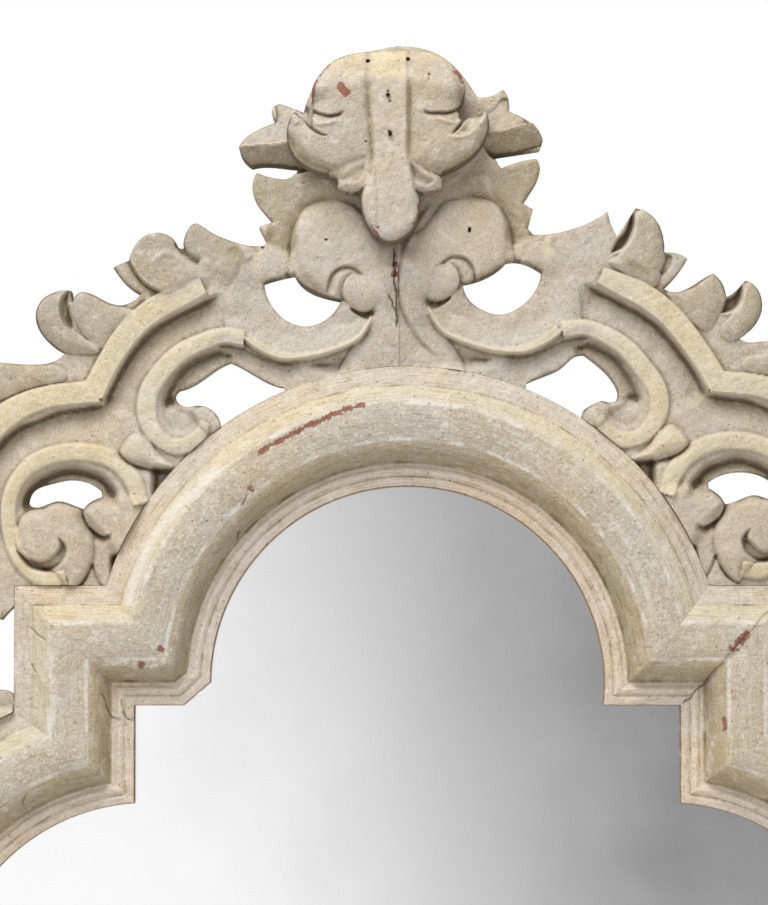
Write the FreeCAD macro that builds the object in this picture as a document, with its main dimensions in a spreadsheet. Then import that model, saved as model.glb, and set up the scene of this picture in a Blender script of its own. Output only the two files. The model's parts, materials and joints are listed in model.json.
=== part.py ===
import FreeCAD, Part
import math
import os

import Sketcher
from FreeCAD import Placement, Rotation, Vector

# Driving sizes in millimetres, angles in degrees.
sizes = (
    ("photo_scale", 0.8, "millimetres on the mirror for one pixel of the photo"),
    ("arch_radius", 158, "sight radius of the top and bottom lobes"),
    ("arch_sink", 18, "centre of the top or bottom lobe beyond the level sight edges"),
    ("lobe_radius", 164, "sight radius of the side lobes"),
    ("lobe_lead", 11, "centre of a side lobe inside the upright sight edges"),
    ("shelf_length", 62, "level sight edge from the arch to the corner of the barb"),
    ("step_length", 78.4, "upright sight edge from the side lobe to the corner of the barb"),
    ("lip_width", 6.4, "flat lip next to the glass"),
    ("cove_width", 3.6, "small cove behind the lip"),
    ("bead_width", 7.6, "inner bead"),
    ("scotia_width", 18.4, "deep hollow between bead and face"),
    ("face_width", 30.4, "broad face"),
    ("bevel_width", 13, "outer bevel"),
    ("quirk_width", 1, "crease behind the bevel"),
    ("band_width", 7.6, "first outer fillet"),
    ("band_step_width", 0.8, "step between the outer fillets"),
    ("edge_width", 7.2, "last outer fillet"),
    ("lip_front_height", 19.2, "lip above the frame's back at the sight edge"),
    ("lip_back_height", 20.2, "lip above the frame's back at the cove"),
    ("bead_front_height", 21.2, "bead at the cove"),
    ("bead_back_height", 21.6, "bead at the foot of the scotia"),
    ("arris_height", 41, "inner arris of the broad face"),
    ("shoulder_height", 43.4, "outer arris of the broad face"),
    ("bevel_foot_height", 36, "foot of the outer bevel"),
    ("quirk_height", 34, "bottom of the crease"),
    ("band_height", 32.5, "first outer fillet"),
    ("band_step_height", 31, "second outer fillet"),
    ("edge_height", 30, "frame's outer edge"),
    ("scotia_radius", 26, "hollow of the scotia"),
    ("face_radius", 62, "crown of the broad face"),
    ("rebate_width", 10, "ledge that holds the glass"),
    ("rebate_play", 1.5, "room round the glass in its rebate"),
    ("glass_thickness", 4, "mirror plate"),
    ("backboard_thickness", 6, "board behind the plate"),
    ("cut_overrun", 5, "how far a cutter runs past the wood"),
    ("key_length", 44, "butterfly key across a mitre"),
    ("key_end_width", 22, "butterfly key at its ends"),
    ("key_waist_width", 13, "butterfly key at its waist"),
    ("key_depth", 9, "butterfly key into the wood"),
    ("key_inset", 56, "sight edge to the middle of a key"),
    ("key_play", 0.15, "room round a key"),
    ("glue_gap", 0.2, "glue line beside a carved board"),
    ("board_thickness", 24, "ground of the carved boards"),
    ("relief_rise", 12, "carving above the ground"),
    ("relief_sink", 7, "hollows below the ground"),
    ("relief_root", 3, "how deep a raised form is rooted"),
    ("mound_edge", 5, "rounding round a raised mound"),
    ("band_edge", 2.4, "rounding along a raised band"),
    ("block_thickness", 30, "cartouche block in front of the ground"),
    ("block_rise", 12, "carving on the cartouche block"),
    ("nail_shank_radius", 1, "cut nails of the cartouche"),
    ("nail_head_radius", 1.7, "heads of the cut nails"),
    ("nail_length", 48, "cut nails of the cartouche"),
    ("nail_head_thickness", 1.2, "heads of the cut nails"),
    ("standoff", 10, "wall to the frame's back"),
    ("bumper_radius", 9, "wall bumper"),
    ("batten_width", 44, "strip behind the joint of two boards"),
    ("batten_thickness", 8, "strip behind the joint of two boards"),
    ("batten_offset", 8, "joint of the boards beside the middle"),
    ("batten_start", 14, "sight edge to the end of a strip"),
    ("crest_batten_length", 286, "strip behind the crest"),
    ("apron_batten_length", 176, "strip behind the apron"),
    ("screw_radius", 1.75, "shank of the wood screws"),
    ("screw_head_radius", 3.6, "head of the wood screws"),
    ("screw_head_thickness", 1.8, "head of the wood screws"),
    ("screw_bite", 16, "wood screw inside the frame"),
    ("screw_inset", 13, "batten screw from the middle line of its strip"),
    ("screw_play", 0.2, "room round a shank in a strip or strap"),
    ("button_length", 34, "turn button"),
    ("button_width", 13, "turn button"),
    ("button_thickness", 1.8, "turn button"),
    ("button_pivot", 12, "sight edge's rebate to the turn button's screw"),
    ("pivot_play", 0.05, "running room of a turning piece"),
    ("lift", 0.15, "room under a turning piece"),
    ("strap_width", 15, "hanger strap"),
    ("strap_length", 50, "hanger strap below its barrel"),
    ("strap_thickness", 1.6, "hanger strap"),
    ("barrel_wall", 1.8, "rolled end of the strap"),
    ("ring_wire_radius", 2, "wire of the hanger ring"),
    ("ring_half_width", 11, "middle to a leg of the hanger ring"),
    ("ring_leg", 8, "straight leg of the hanger ring"),
    ("strap_screw_first", 11, "barrel to the first strap screw"),
    ("strap_screw_second", 36, "barrel to the second strap screw"),
    ("hanger_angle", 34, "hanger above the level through the side lobes"),
    ("bumper_angle", 36, "upper bumper beside the upright"),
    ("button_angle", 52, "turn button beside its lobe's middle"),
)

# Points read off the photo, in pixels, left half first.
arch_px = (407.5, 683)
arch_outer_px = 317.5
lobe_px = (147.5, 1008)
lobe_outer_px = 325

head_left_px = (
    ((394, 43), (373, 47), (350, 53), (331, 62), (319, 74), (310, 90), (305, 102), (303, 109)),
    ((303, 109), (291, 104), (279, 100)),
    ((279, 100), (272, 105), (275, 119)),
    ((275, 119), (261, 125), (250, 131), (238, 144)),
    ((238, 144), (240, 152), (251, 164)),
    ((251, 164), (264, 162), (280, 163), (297, 165)),
    ((297, 165), (293, 173), (284, 177)),
    ((284, 177), (270, 175), (256, 170)),
    ((256, 170), (252, 180), (253, 194), (261, 207), (272, 220)),
    ((272, 220), (258, 225)),
    ((258, 225), (266, 241)),
    ((266, 241), (262, 244)),
)
wing_left_px = (
    ((262, 244), (246, 244), (226, 238), (206, 228), (194, 222), (186, 230), (183, 247)),
    ((183, 247), (177, 246)),
    ((177, 246), (167, 234), (154, 232), (140, 238), (132, 249), (128, 259)),
    ((128, 259), (112, 266)),
    ((112, 266), (123, 281), (140, 293)),
    ((140, 293), (132, 300), (118, 304), (104, 300), (91, 293), (80, 291), (71, 300)),
    ((71, 300), (69, 289)),
    ((69, 289), (53, 291), (40, 299), (34, 314), (40, 333), (64, 352)),
)
joint_left_px = (
    ((64, 352), (100, 400)),
    ((100, 400), (120, 421), (142, 436), (165, 452), (197, 464)),
)
foot_left_px = (
    ((197, 464), (230, 480)),
    ((230, 480), (305, 434), (400, 413)),
    ((400, 413), (394, 43)),
)
apron_foot_left_px = (
    ((197, 464), (230, 480)),
    ((230, 480), (305, 434), (400, 413)),
    ((400, 413), (400, 222)),
)
apron_top_left_px = (
    ((400, 222), (386, 207), (362, 197), (330, 191), (303, 197), (283, 213), (262, 244)),
)
shoulder_left_px = (
    ((64, 352), (54, 360), (30, 364), (12, 363), (-4, 362)),
    ((-4, 362), (-22, 364), (-36, 373)),
    ((-36, 373), (-54, 368), (-71, 376), (-80, 393), (-77, 409), (-64, 421)),
    ((-64, 421), (-73, 441), (-78, 466)),
    ((-78, 466), (-97, 471), (-108, 487), (-107, 507), (-95, 521), (-80, 525)),
    ((-80, 525), (-74, 551), (-58, 577), (-34, 599), (0, 620)),
    ((0, 620), (11, 608), (20, 601)),
    ((20, 601), (32, 622)),
    ((32, 622), (132, 622)),
    ((132, 622), (142, 566), (164, 512), (197, 464)),
)
crest_hole_left_px = (
    ((263, 281), (280, 276), (294, 273)),
    ((294, 273), (304, 286), (320, 294), (341, 299)),
    ((341, 299), (333, 312), (319, 322), (304, 325), (287, 320), (273, 307), (266, 294), (263, 281)),
)
arch_hole_left_px = (
    ((283, 386), (259, 377), (244, 368), (229, 361)),
    ((229, 361), (207, 374), (190, 385), (178, 389)),
    ((178, 389), (174, 397), (180, 404), (190, 406)),
    ((190, 406), (204, 406), (213, 411), (219, 422)),
    ((219, 422), (224, 445)),
    ((224, 445), (286, 403)),
    ((286, 403), (283, 386)),
)
eye_hole_left_px = (
    ((26, 504), (34, 488), (48, 483), (70, 479), (88, 483), (100, 491)),
    ((100, 491), (101, 497)),
    ((101, 497), (91, 501), (83, 509)),
    ((83, 509), (70, 504), (56, 501), (42, 506), (26, 504)),
)
head_right_px = (
    ((394, 43), (412, 43), (430, 47), (448, 57), (463, 72), (473, 86), (478, 94)),
    ((478, 94), (487, 94), (504, 86)),
    ((504, 86), (509, 95), (510, 108)),
    ((510, 108), (524, 115), (536, 124), (544, 138)),
    ((544, 138), (541, 146)),
    ((541, 146), (522, 149), (496, 153)),
    ((496, 153), (498, 160), (502, 166)),
    ((502, 166), (518, 160), (537, 156)),
    ((537, 156), (541, 166), (537, 180), (524, 201)),
    ((524, 201), (534, 207)),
    ((534, 207), (529, 226)),
    ((529, 226), (534, 232)),
)
wing_right_px = (
    ((534, 232), (546, 233), (567, 229), (590, 221), (609, 209)),
    ((609, 209), (612, 222), (618, 234)),
    ((618, 234), (626, 223), (637, 206)),
    ((637, 206), (649, 211), (659, 221), (665, 238), (666, 251)),
    ((666, 251), (675, 251), (689, 257)),
    ((689, 257), (679, 273), (665, 287)),
    ((665, 287), (675, 291), (693, 285), (715, 272)),
    ((715, 272), (722, 279), (728, 296)),
    ((728, 296), (737, 290), (747, 279)),
    ((747, 279), (757, 285), (764, 303), (758, 322), (740, 337)),
)
joint_right_px = (
    ((740, 337), (714, 389)),
    ((714, 389), (692, 409), (668, 425), (646, 441), (614, 453)),
)
foot_right_px = (
    ((614, 453), (584, 474)),
    ((584, 474), (508, 430), (400, 413)),
    ((400, 413), (394, 43)),
)
apron_foot_right_px = (
    ((614, 453), (584, 474)),
    ((584, 474), (508, 430), (400, 413)),
    ((400, 413), (400, 222)),
)
apron_top_right_px = (
    ((400, 222), (420, 206), (442, 196), (472, 190), (498, 197), (516, 212), (534, 232)),
)
shoulder_right_px = (
    ((740, 337), (748, 341), (768, 340), (794, 345), (814, 351)),
    ((814, 351), (832, 353), (846, 362)),
    ((846, 362), (864, 357), (881, 365), (890, 382), (887, 398), (874, 410)),
    ((874, 410), (883, 430), (888, 455)),
    ((888, 455), (907, 460), (918, 476), (917, 496), (905, 510), (890, 514)),
    ((890, 514), (884, 542), (868, 570), (846, 594), (815, 616)),
    ((815, 616), (804, 606), (795, 600)),
    ((795, 600), (783, 622)),
    ((783, 622), (683, 622)),
    ((683, 622), (671, 562), (648, 505), (614, 453)),
)
crest_hole_right_px = (
    ((543, 270), (529, 262), (517, 259), (507, 260)),
    ((507, 260), (494, 271), (482, 277), (463, 282)),
    ((463, 282), (470, 299), (484, 309), (502, 313), (520, 306), (535, 291), (543, 270)),
)
arch_hole_right_px = (
    ((527, 382), (549, 373), (563, 366), (574, 356), (586, 353)),
    ((586, 353), (600, 364), (612, 376), (620, 391)),
    ((620, 391), (618, 399), (603, 400)),
    ((603, 400), (593, 404), (585, 409)),
    ((585, 409), (579, 430)),
    ((579, 430), (525, 402)),
    ((525, 402), (527, 382)),
)
eye_hole_right_px = (
    ((784, 494), (778, 484), (762, 474), (740, 471), (722, 475), (710, 482)),
    ((710, 482), (710, 488)),
    ((710, 488), (719, 494), (726, 504)),
    ((726, 504), (742, 499), (756, 495), (770, 499), (784, 494)),
)
flank_left_px = (
    ((26, 724), (20, 708), (11, 694), (-3, 690)),
    ((-3, 690), (-32, 692), (-60, 702), (-82, 706)),
    ((-82, 706), (-80, 728), (-89, 748)),
    ((-89, 748), (-110, 746), (-134, 760), (-147, 777)),
    ((-147, 777), (-139, 795), (-142, 812)),
    ((-142, 812), (-162, 817), (-184, 838), (-191, 860)),
    ((-191, 860), (-180, 876), (-177, 894)),
    ((-177, 894), (-190, 914), (-200, 944), (-201, 976), (-192, 1008)),
)
flank_foot_left_px = (
    ((26, 1292), (44, 1262)),
    ((44, 1262), (-86, 1180), (-140, 1008), (-86, 836), (44, 754)),
    ((44, 754), (26, 724)),
)
block_px = (
    ((313, 104), (312, 92), (320, 76), (334, 62), (352, 55), (395, 51), (432, 53), (450, 64), (462, 79),
     (465, 93), (460, 107)),
    ((460, 107), (459, 121)),
    ((459, 121), (472, 119), (486, 112)),
    ((486, 112), (489, 127), (484, 143), (466, 163), (442, 174)),
    ((442, 174), (442, 190)),
    ((442, 190), (432, 192), (421, 194)),
    ((421, 194), (420, 208), (416, 226), (406, 238), (393, 244), (378, 240), (366, 226), (361, 208),
     (359, 193)),
    ((359, 193), (347, 193), (337, 189)),
    ((337, 189), (337, 179), (329, 176)),
    ((329, 176), (308, 169), (290, 151), (287, 130), (295, 113)),
    ((295, 113), (303, 120), (312, 128)),
    ((312, 128), (313, 104)),
)
nail_px = ((368, 63), (408, 61), (388, 98), (390, 137))

# Raised forms of the left half: how far each one rises, then its outline.
crest_mounds_px = (
    (1.0, ((297, 262), (296, 240), (300, 216), (312, 204), (332, 199), (352, 205), (366, 220),
           (377, 240), (382, 262), (375, 284), (358, 297), (340, 297), (320, 292), (305, 282))),
    (1.3, ((378, 288), (373, 276), (361, 271), (349, 276), (344, 288), (349, 300), (361, 305), (373, 300))),
    (0.7, ((134, 262), (135, 248), (144, 237), (156, 234), (168, 241), (177, 252), (188, 262),
           (176, 275), (158, 284), (144, 276))),
    (0.6, ((38, 314), (44, 301), (56, 293), (66, 296), (68, 312), (78, 328), (80, 342), (66, 346), (48, 334))),
    (0.7, ((244, 146), (257, 131), (274, 123), (290, 118), (300, 134), (299, 152), (285, 158),
           (264, 157), (251, 157))),
    (0.4, ((262, 182), (284, 187), (298, 197), (293, 216), (283, 233), (272, 232), (277, 220), (268, 207))),
)
crest_bands_px = (
    (0.75, ((383, 268, 13), (383, 292, 12), (378, 314, 10), (365, 333, 8), (345, 348, 7), (315, 358, 6),
            (286, 361, 5), (263, 356, 5), (245, 345, 5), (230, 334, 6))),
    (0.75, ((232, 334, 6), (212, 338, 7), (190, 348, 7), (168, 364, 7), (152, 385, 7), (146, 404, 7),
            (150, 424, 7), (164, 440, 7), (181, 442, 7), (197, 432, 7), (204, 418, 7))),
    (0.95, ((202, 285, 9), (181, 295, 10), (158, 306, 11), (137, 322, 11), (119, 344, 12), (104, 370, 12),
            (92, 398, 12))),
)
crest_hollows_px = (
    ((215, 314, 13), (190, 325, 14), (165, 341, 14), (146, 361, 13), (132, 384, 12), (126, 406, 9)),
    ((350, 325, 7), (333, 337, 9), (310, 344, 10), (286, 343, 11), (264, 330, 12), (248, 310, 13),
     (238, 288, 13)),
)
shoulder_mounds_px = (
    (0.85, ((20, 530), (27, 514), (42, 508), (58, 505), (74, 510), (85, 521), (89, 538), (83, 556),
            (70, 566), (57, 562), (43, 558), (28, 551))),
    (0.9, ((84, 514), (91, 501), (103, 497), (115, 502), (120, 514), (115, 526), (103, 532), (91, 527))),
    (0.6, ((121, 449), (131, 436), (144, 440), (152, 456), (146, 467), (132, 463))),
)
shoulder_bands_px = (
    (0.95, ((100, 390, 12), (75, 393, 11), (50, 397, 11), (25, 406, 12), (2, 420, 13), (-22, 444, 13),
            (-38, 476, 12), (-44, 512, 12), (-38, 548, 11), (-20, 576, 9))),
    (0.8, ((137, 492, 8), (127, 474, 9), (108, 459, 9), (85, 452, 9), (60, 453, 9), (36, 461, 9),
           (18, 478, 9), (9, 498, 8), (7, 522, 8), (13, 548, 7), (27, 568, 7), (46, 576, 7), (62, 571, 6))),
)
shoulder_hollows_px = (
    ((116, 438, 8), (95, 428, 10), (70, 426, 11), (46, 431, 12), (20, 444, 12), (0, 464, 12),
     (-14, 492, 12), (-17, 522, 12), (-9, 550, 11)),
)
flank_bands_px = (
    (0.9, ((14, 716, 8), (-22, 718, 9), (-62, 738, 10), (-100, 776, 10), (-132, 824, 10), (-156, 880, 9),
           (-170, 944, 9), (-174, 1008, 8))),
)
block_mounds_px = (
    (0.65, ((316, 98), (320, 82), (334, 68), (350, 61), (363, 63), (366, 84), (363, 103), (346, 112),
            (327, 111))),
    (0.65, ((414, 63), (430, 60), (446, 67), (457, 80), (460, 94), (452, 108), (436, 111), (416, 102),
            (412, 84))),
    (1.0, ((369, 62), (389, 57), (408, 62), (409, 110), (409, 160), (417, 198), (413, 222), (392, 240),
           (370, 223), (364, 198), (370, 160), (370, 110))),
)
block_bands_px = (
    (0.6, ((296, 121, 7), (297, 137, 9), (306, 152, 11), (322, 162, 12), (340, 162, 12), (356, 152, 9))),
    (0.6, ((483, 120, 7), (479, 136, 9), (468, 149, 11), (452, 159, 12), (434, 160, 12), (418, 150, 9))),
)
# The same spots on the left and the right half.
twin_px = (
    ((263, 281), (543, 270)), ((341, 299), (463, 282)), ((229, 361), (586, 353)), ((283, 386), (527, 382)),
    ((201, 284), (603, 273)), ((100, 400), (714, 389)), ((70, 443), (742, 429)), ((361, 288), (444, 280)),
    ((154, 232), (649, 211)), ((53, 291), (755, 283)), ((256, 170), (537, 156)), ((238, 144), (544, 138)),
    ((178, 389), (620, 391)), ((332, 199), (467, 202)), ((26, 504), (784, 494)), ((83, 509), (726, 504)),
    ((315, 358), (488, 358)), ((304, 325), (502, 313)), ((100, 513), (707, 500)),
)
twin_sum_px = 810
twin_drop_px = 9
twin_reach_px = 25

# Sections of a raised form: share of its rise, share of its rounding.
round_shares = ((0, 0), (0.6, 0.25), (0.9, 0.6), (1, 1))
band_round_shares = ((0, 0), (0.65, 0.25), (1, 1))
hollow_shares = ((1, 0), (0.45, 0.3), (0, 0.72))
batten_screw_shares = (0.08, 0.2, 0.5, 0.92)

doc = FreeCAD.newDocument("ornate_mirror")
sheet = doc.addObject("Spreadsheet::Sheet", "Sizes")
for row, (alias, value, note) in enumerate(sizes, 1):
    sheet.set("A%d" % row, alias)
    sheet.set("B%d" % row, str(value))
    sheet.setAlias("B%d" % row, alias)
    sheet.set("C%d" % row, note)
doc.recompute()

exported = []


# Places that follow from the driving sizes: the barbs' sight edges and the lobes' centres.
half_width_cells = "sqrt(Sizes.arch_radius ^ 2 - Sizes.arch_sink ^ 2) + Sizes.shelf_length"
half_height_cells = "sqrt(Sizes.lobe_radius ^ 2 - Sizes.lobe_lead ^ 2) + Sizes.step_length"
derived_cells = {
    "box_half_width": "(%s)" % half_width_cells,
    "box_half_height": "(%s)" % half_height_cells,
    "arch_rise": "(%s + Sizes.arch_sink)" % half_height_cells,
    "lobe_reach": "(%s - Sizes.lobe_lead)" % half_width_cells,
}
derived_sizes = {}


def size(alias):
    return derived_sizes[alias] if alias in derived_sizes else float(sheet.get(alias))


def foot(radius, step):
    """Half the width of a lobe at its straight rails."""
    return math.sqrt(size(radius) ** 2 - size(step) ** 2)


derived_sizes["box_half_width"] = foot("arch_radius", "arch_sink") + size("shelf_length")
derived_sizes["box_half_height"] = foot("lobe_radius", "lobe_lead") + size("step_length")
derived_sizes["arch_rise"] = size("box_half_height") + size("arch_sink")
derived_sizes["lobe_reach"] = size("box_half_width") - size("lobe_lead")


def cell(alias):
    return derived_cells.get(alias, "Sizes." + alias)


def cell_sum(*aliases):
    return " + ".join(cell(alias) for alias in aliases)


def finish(piece, label):
    piece.Label = label
    exported.append(piece)
    return piece


# Moulding: each corner of the section as the widths before it and its height.
profile_widths = ("lip_width", "cove_width", "bead_width", "scotia_width", "face_width", "bevel_width",
                  "quirk_width", "band_width", "band_step_width", "edge_width")
profile_heights = ("lip_front_height", "lip_back_height", "bead_front_height", "bead_back_height",
                   "arris_height", "shoulder_height", "bevel_foot_height", "quirk_height", "band_height",
                   "band_step_height", "edge_height")
rebate_heights = ("glass_thickness", "backboard_thickness")
rail_width = sum(size(alias) for alias in profile_widths)
rebate_depth = sum(size(alias) for alias in rebate_heights)
arch_outer = size("arch_radius") + rail_width
lobe_outer = size("lobe_radius") + rail_width
scale = size("photo_scale")
overrun = size("cut_overrun")
standoff = size("standoff")
ground = size("board_thickness")


def bent(start, end, radius, side):
    """Point halfway along the arc between two corners."""
    chord = end - start
    half = chord.Length / 2
    sag = radius - math.sqrt(radius * radius - half * half)
    across = Vector(-chord.y, chord.x, 0).normalize()
    return start + chord * 0.5 + across * (sag * side)


def moulding_sketch(body, plane, offset_alias):
    """Moulding section standing at the sight edge, with its rebate."""
    sketch = body.newObject("Sketcher::SketchObject", body.Name + "_section")
    sketch.AttachmentSupport = [(plane, "")]
    sketch.MapMode = "FlatFace"
    corners = [((), rebate_heights)]
    for count, height in enumerate(profile_heights):
        corners.append((profile_widths[:count], (height,)))
    corners.append((profile_widths, ()))
    corners.append((("rebate_width",), ()))
    corners.append((("rebate_width",), rebate_heights))
    spots = []
    for widths, heights in corners:
        across = size(offset_alias) + sum(size(alias) for alias in widths)
        spots.append(Vector(across, sum(size(alias) for alias in heights), 0))
    radii = {4: ("scotia_radius", -1), 5: ("face_radius", 1)}
    for count, spot in enumerate(spots):
        after = spots[(count + 1) % len(spots)]
        if count in radii:
            alias, side = radii[count]
            middle = bent(spot, after, size(alias), side)
            sketch.addGeometry(Part.Arc(spot, middle, after), False)
        else:
            sketch.addGeometry(Part.LineSegment(spot, after), False)

    def ends(count):
        """Start and end of a line; an arc that bulges left is held the other way round."""
        if count in radii and radii[count][1] > 0:
            return 2, 1
        return 1, 2

    for count in range(len(spots)):
        after = (count + 1) % len(spots)
        sketch.addConstraint(Sketcher.Constraint("Coincident", count, ends(count)[1], after, ends(after)[0]))
    for count, (widths, heights) in enumerate(corners):
        point = ends(count)[0]
        number = sketch.addConstraint(
            Sketcher.Constraint("DistanceX", -1, 1, count, point, spots[count].x))
        sketch.setExpression("Constraints[%d]" % number, cell_sum(offset_alias, *widths))
        if heights:
            number = sketch.addConstraint(
                Sketcher.Constraint("DistanceY", -1, 1, count, point, spots[count].y))
            sketch.setExpression("Constraints[%d]" % number, cell_sum(*heights))
        else:
            sketch.addConstraint(Sketcher.Constraint("PointOnObject", count, point, -1))
    for count, (alias, side) in radii.items():
        number = sketch.addConstraint(Sketcher.Constraint("Radius", count, size(alias)))
        sketch.setExpression("Constraints[%d]" % number, cell_sum(alias))
    return sketch


def origin_plane(body, role):
    for feature in body.Origin.OriginFeatures:
        if feature.Role == role:
            return feature
    return None


def loop_sketch(body, name, loops):
    """Closed outlines on the back plane; a run of three points is an arc."""
    sketch = body.newObject("Sketcher::SketchObject", body.Name + name)
    sketch.AttachmentSupport = [(origin_plane(body, "XY_Plane"), "")]
    sketch.MapMode = "FlatFace"
    for loop in loops:
        for run in loop:
            spots = [Vector(x, y, 0) for x, y in run]
            if len(spots) == 3:
                sketch.addGeometry(Part.Arc(*spots), False)
            else:
                sketch.addGeometry(Part.LineSegment(*spots), False)
    return sketch


def pocket(body, sketch, length_cells, both_ways):
    cut = body.newObject("PartDesign::Pocket", sketch.Name + "_cut")
    cut.Profile = sketch
    cut.Type = "Length"
    cut.setExpression("Length", length_cells)
    if both_ways:
        cut.SideType = "Symmetric"
    else:
        cut.Reversed = True
    return cut


def runs(points):
    return [(points[count], points[(count + 1) % len(points)]) for count in range(len(points))]


def key_outline(spot, along, play):
    """Butterfly key lying across a mitre, as corner points."""
    long_half = size("key_length") / 2 + play
    end_half = size("key_end_width") / 2 + play
    waist_half = size("key_waist_width") / 2 + play
    length = math.hypot(*along)
    ux, uy = along[1] / length, -along[0] / length
    corners = ((-long_half, -end_half), (0, -waist_half), (long_half, -end_half),
               (long_half, end_half), (0, waist_half), (-long_half, end_half))
    return [(spot[0] + ux * u - uy * v, spot[1] + uy * u + ux * v) for u, v in corners]


class Side:
    """One side of the quatrefoil: a lobe between two straight barb rails."""

    def __init__(self, name, turn, reach, radius, offset, half):
        self.name = name
        self.turn = turn
        self.reach = reach
        self.radius = radius
        self.offset = offset
        self.half = half
        self.step = size(offset) - size(reach)

    def meet(self, width):
        """Where lobe and straight rail are equally far from their sight edges."""
        radius = size(self.radius) + width
        step = self.step + width
        return math.sqrt(radius * radius - step * step)

    def meet_run(self, sign, from_lobe):
        run = []
        for width in (-overrun, rail_width / 2, rail_width + overrun):
            level = self.step + width if from_lobe else size(self.offset) + width
            spot = (level, sign * self.meet(width)) if from_lobe else (sign * self.meet(width), level)
            run.append(spot)
        return tuple(run)

    def meet_slope(self, width):
        return (size(self.radius) - self.step) / self.meet(width)

    def meet_key(self, sign):
        width = size("key_inset")
        spot = (sign * self.meet(width), size(self.offset) + width)
        return spot, (sign * self.meet_slope(width), 1)

    def corner_key(self, sign):
        width = size("key_inset")
        spot = (sign * (size(self.half) + width), size(self.offset) + width)
        return spot, (sign, 1)

    def rotation(self, extra):
        upright = Rotation(Vector(1, 0, 0), 90)
        return upright.multiply(Rotation(Vector(0, 0, 1), self.turn + extra))

    def world(self, across, level):
        angle = math.radians(self.turn)
        x = across * math.cos(angle) - level * math.sin(angle)
        z = across * math.sin(angle) + level * math.cos(angle)
        return x, z


sides = (
    Side("top", 0, "arch_rise", "arch_radius", "box_half_height", "box_half_width"),
    Side("left", 90, "lobe_reach", "lobe_radius", "box_half_width", "box_half_height"),
    Side("bottom", 180, "arch_rise", "arch_radius", "box_half_height", "box_half_width"),
    Side("right", 270, "lobe_reach", "lobe_radius", "box_half_width", "box_half_height"),
)


def lobe_rail(side, label):
    """Turned moulding round one lobe, mitred to the barbs at both ends."""
    body = doc.addObject("PartDesign::Body", label)
    section = moulding_sketch(body, origin_plane(body, "XZ_Plane"), side.radius)
    turned = body.newObject("PartDesign::Revolution", label + "_turned")
    turned.Profile = section
    turned.ReferenceAxis = (section, ["V_Axis"])
    inner = math.atan2(side.meet(0), side.step)
    outer = math.atan2(side.meet(rail_width), side.step + rail_width)
    turned.Angle = 2 * math.degrees(max(inner, outer)) + 4
    turned.Midplane = True
    loops = []
    for sign in (1, -1):
        run = side.meet_run(sign, True)
        top = sign * (size(side.radius) + rail_width + overrun)
        far = -size(side.radius) - rail_width
        corners = (run[2], (run[2][0], top), (far, top), (far, run[0][1]), run[0])
        loops.append([run] + [(corners[n], corners[n + 1]) for n in range(len(corners) - 1)])
    mitre = loop_sketch(body, "_mitre", loops)
    pocket(body, mitre, cell_sum("shoulder_height", "shoulder_height", "shoulder_height"), True)
    keys = []
    for sign in (1, -1):
        spot, along = side.meet_key(sign)
        spot = (spot[1] - size(side.reach), -spot[0])
        keys.append(runs(key_outline(spot, (along[1], -along[0]), size("key_play"))))
    pocket(body, loop_sketch(body, "_key", keys), cell_sum("key_depth"), False)
    body.Placement = Placement(Vector(0, 0, 0), side.rotation(90))
    x, z = side.world(0, 1)
    body.setExpression("Placement.Base.x", "%d * %s" % (round(x), cell(side.reach)))
    body.setExpression("Placement.Base.y", "-Sizes.standoff")
    body.setExpression("Placement.Base.z", "%d * %s" % (round(z), cell(side.reach)))
    return finish(body, label)


def straight_rail(side, sign, label):
    """Straight moulding of a barb, mitred to its lobe and at the corner."""
    body = doc.addObject("PartDesign::Body", label)
    section = moulding_sketch(body, origin_plane(body, "YZ_Plane"), side.offset)
    drawn = body.newObject("PartDesign::Pad", label + "_drawn")
    drawn.Profile = section
    drawn.setExpression("Length", cell_sum(side.half, "cut_overrun", *profile_widths))
    drawn.Reversed = sign < 0
    low = size(side.offset) - overrun
    high = size(side.offset) + rail_width + overrun
    run = side.meet_run(sign, False)
    start = [run, (run[2], (-sign * overrun, high)), ((-sign * overrun, high), (-sign * overrun, low)),
             ((-sign * overrun, low), run[0])]
    near = (sign * (size(side.half) - overrun), low)
    far = (sign * (size(side.half) + rail_width + overrun), high)
    beyond = far[0] + sign * overrun
    end = runs((near, far, (beyond, high), (beyond, low)))
    mitre = loop_sketch(body, "_mitre", (start, end))
    pocket(body, mitre, cell_sum("shoulder_height", "shoulder_height", "shoulder_height"), True)
    keys = []
    for spot, along in (side.meet_key(sign), side.corner_key(sign)):
        keys.append(runs(key_outline(spot, along, size("key_play"))))
    pocket(body, loop_sketch(body, "_key", keys), cell_sum("key_depth"), False)
    body.Placement = Placement(Vector(0, 0, 0), side.rotation(0))
    body.setExpression("Placement.Base.y", "-Sizes.standoff")
    return finish(body, label)


upright = Rotation(Vector(1, 0, 0), 90)


def stand(shape, label):
    """A shape drawn on the frame's back plane, stood up behind the wall gap."""
    piece = doc.addObject("Part::Feature", label)
    piece.Shape = shape
    piece.Placement = Placement(Vector(0, -standoff, 0), upright).multiply(shape.Placement)
    return finish(piece, label)


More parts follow.
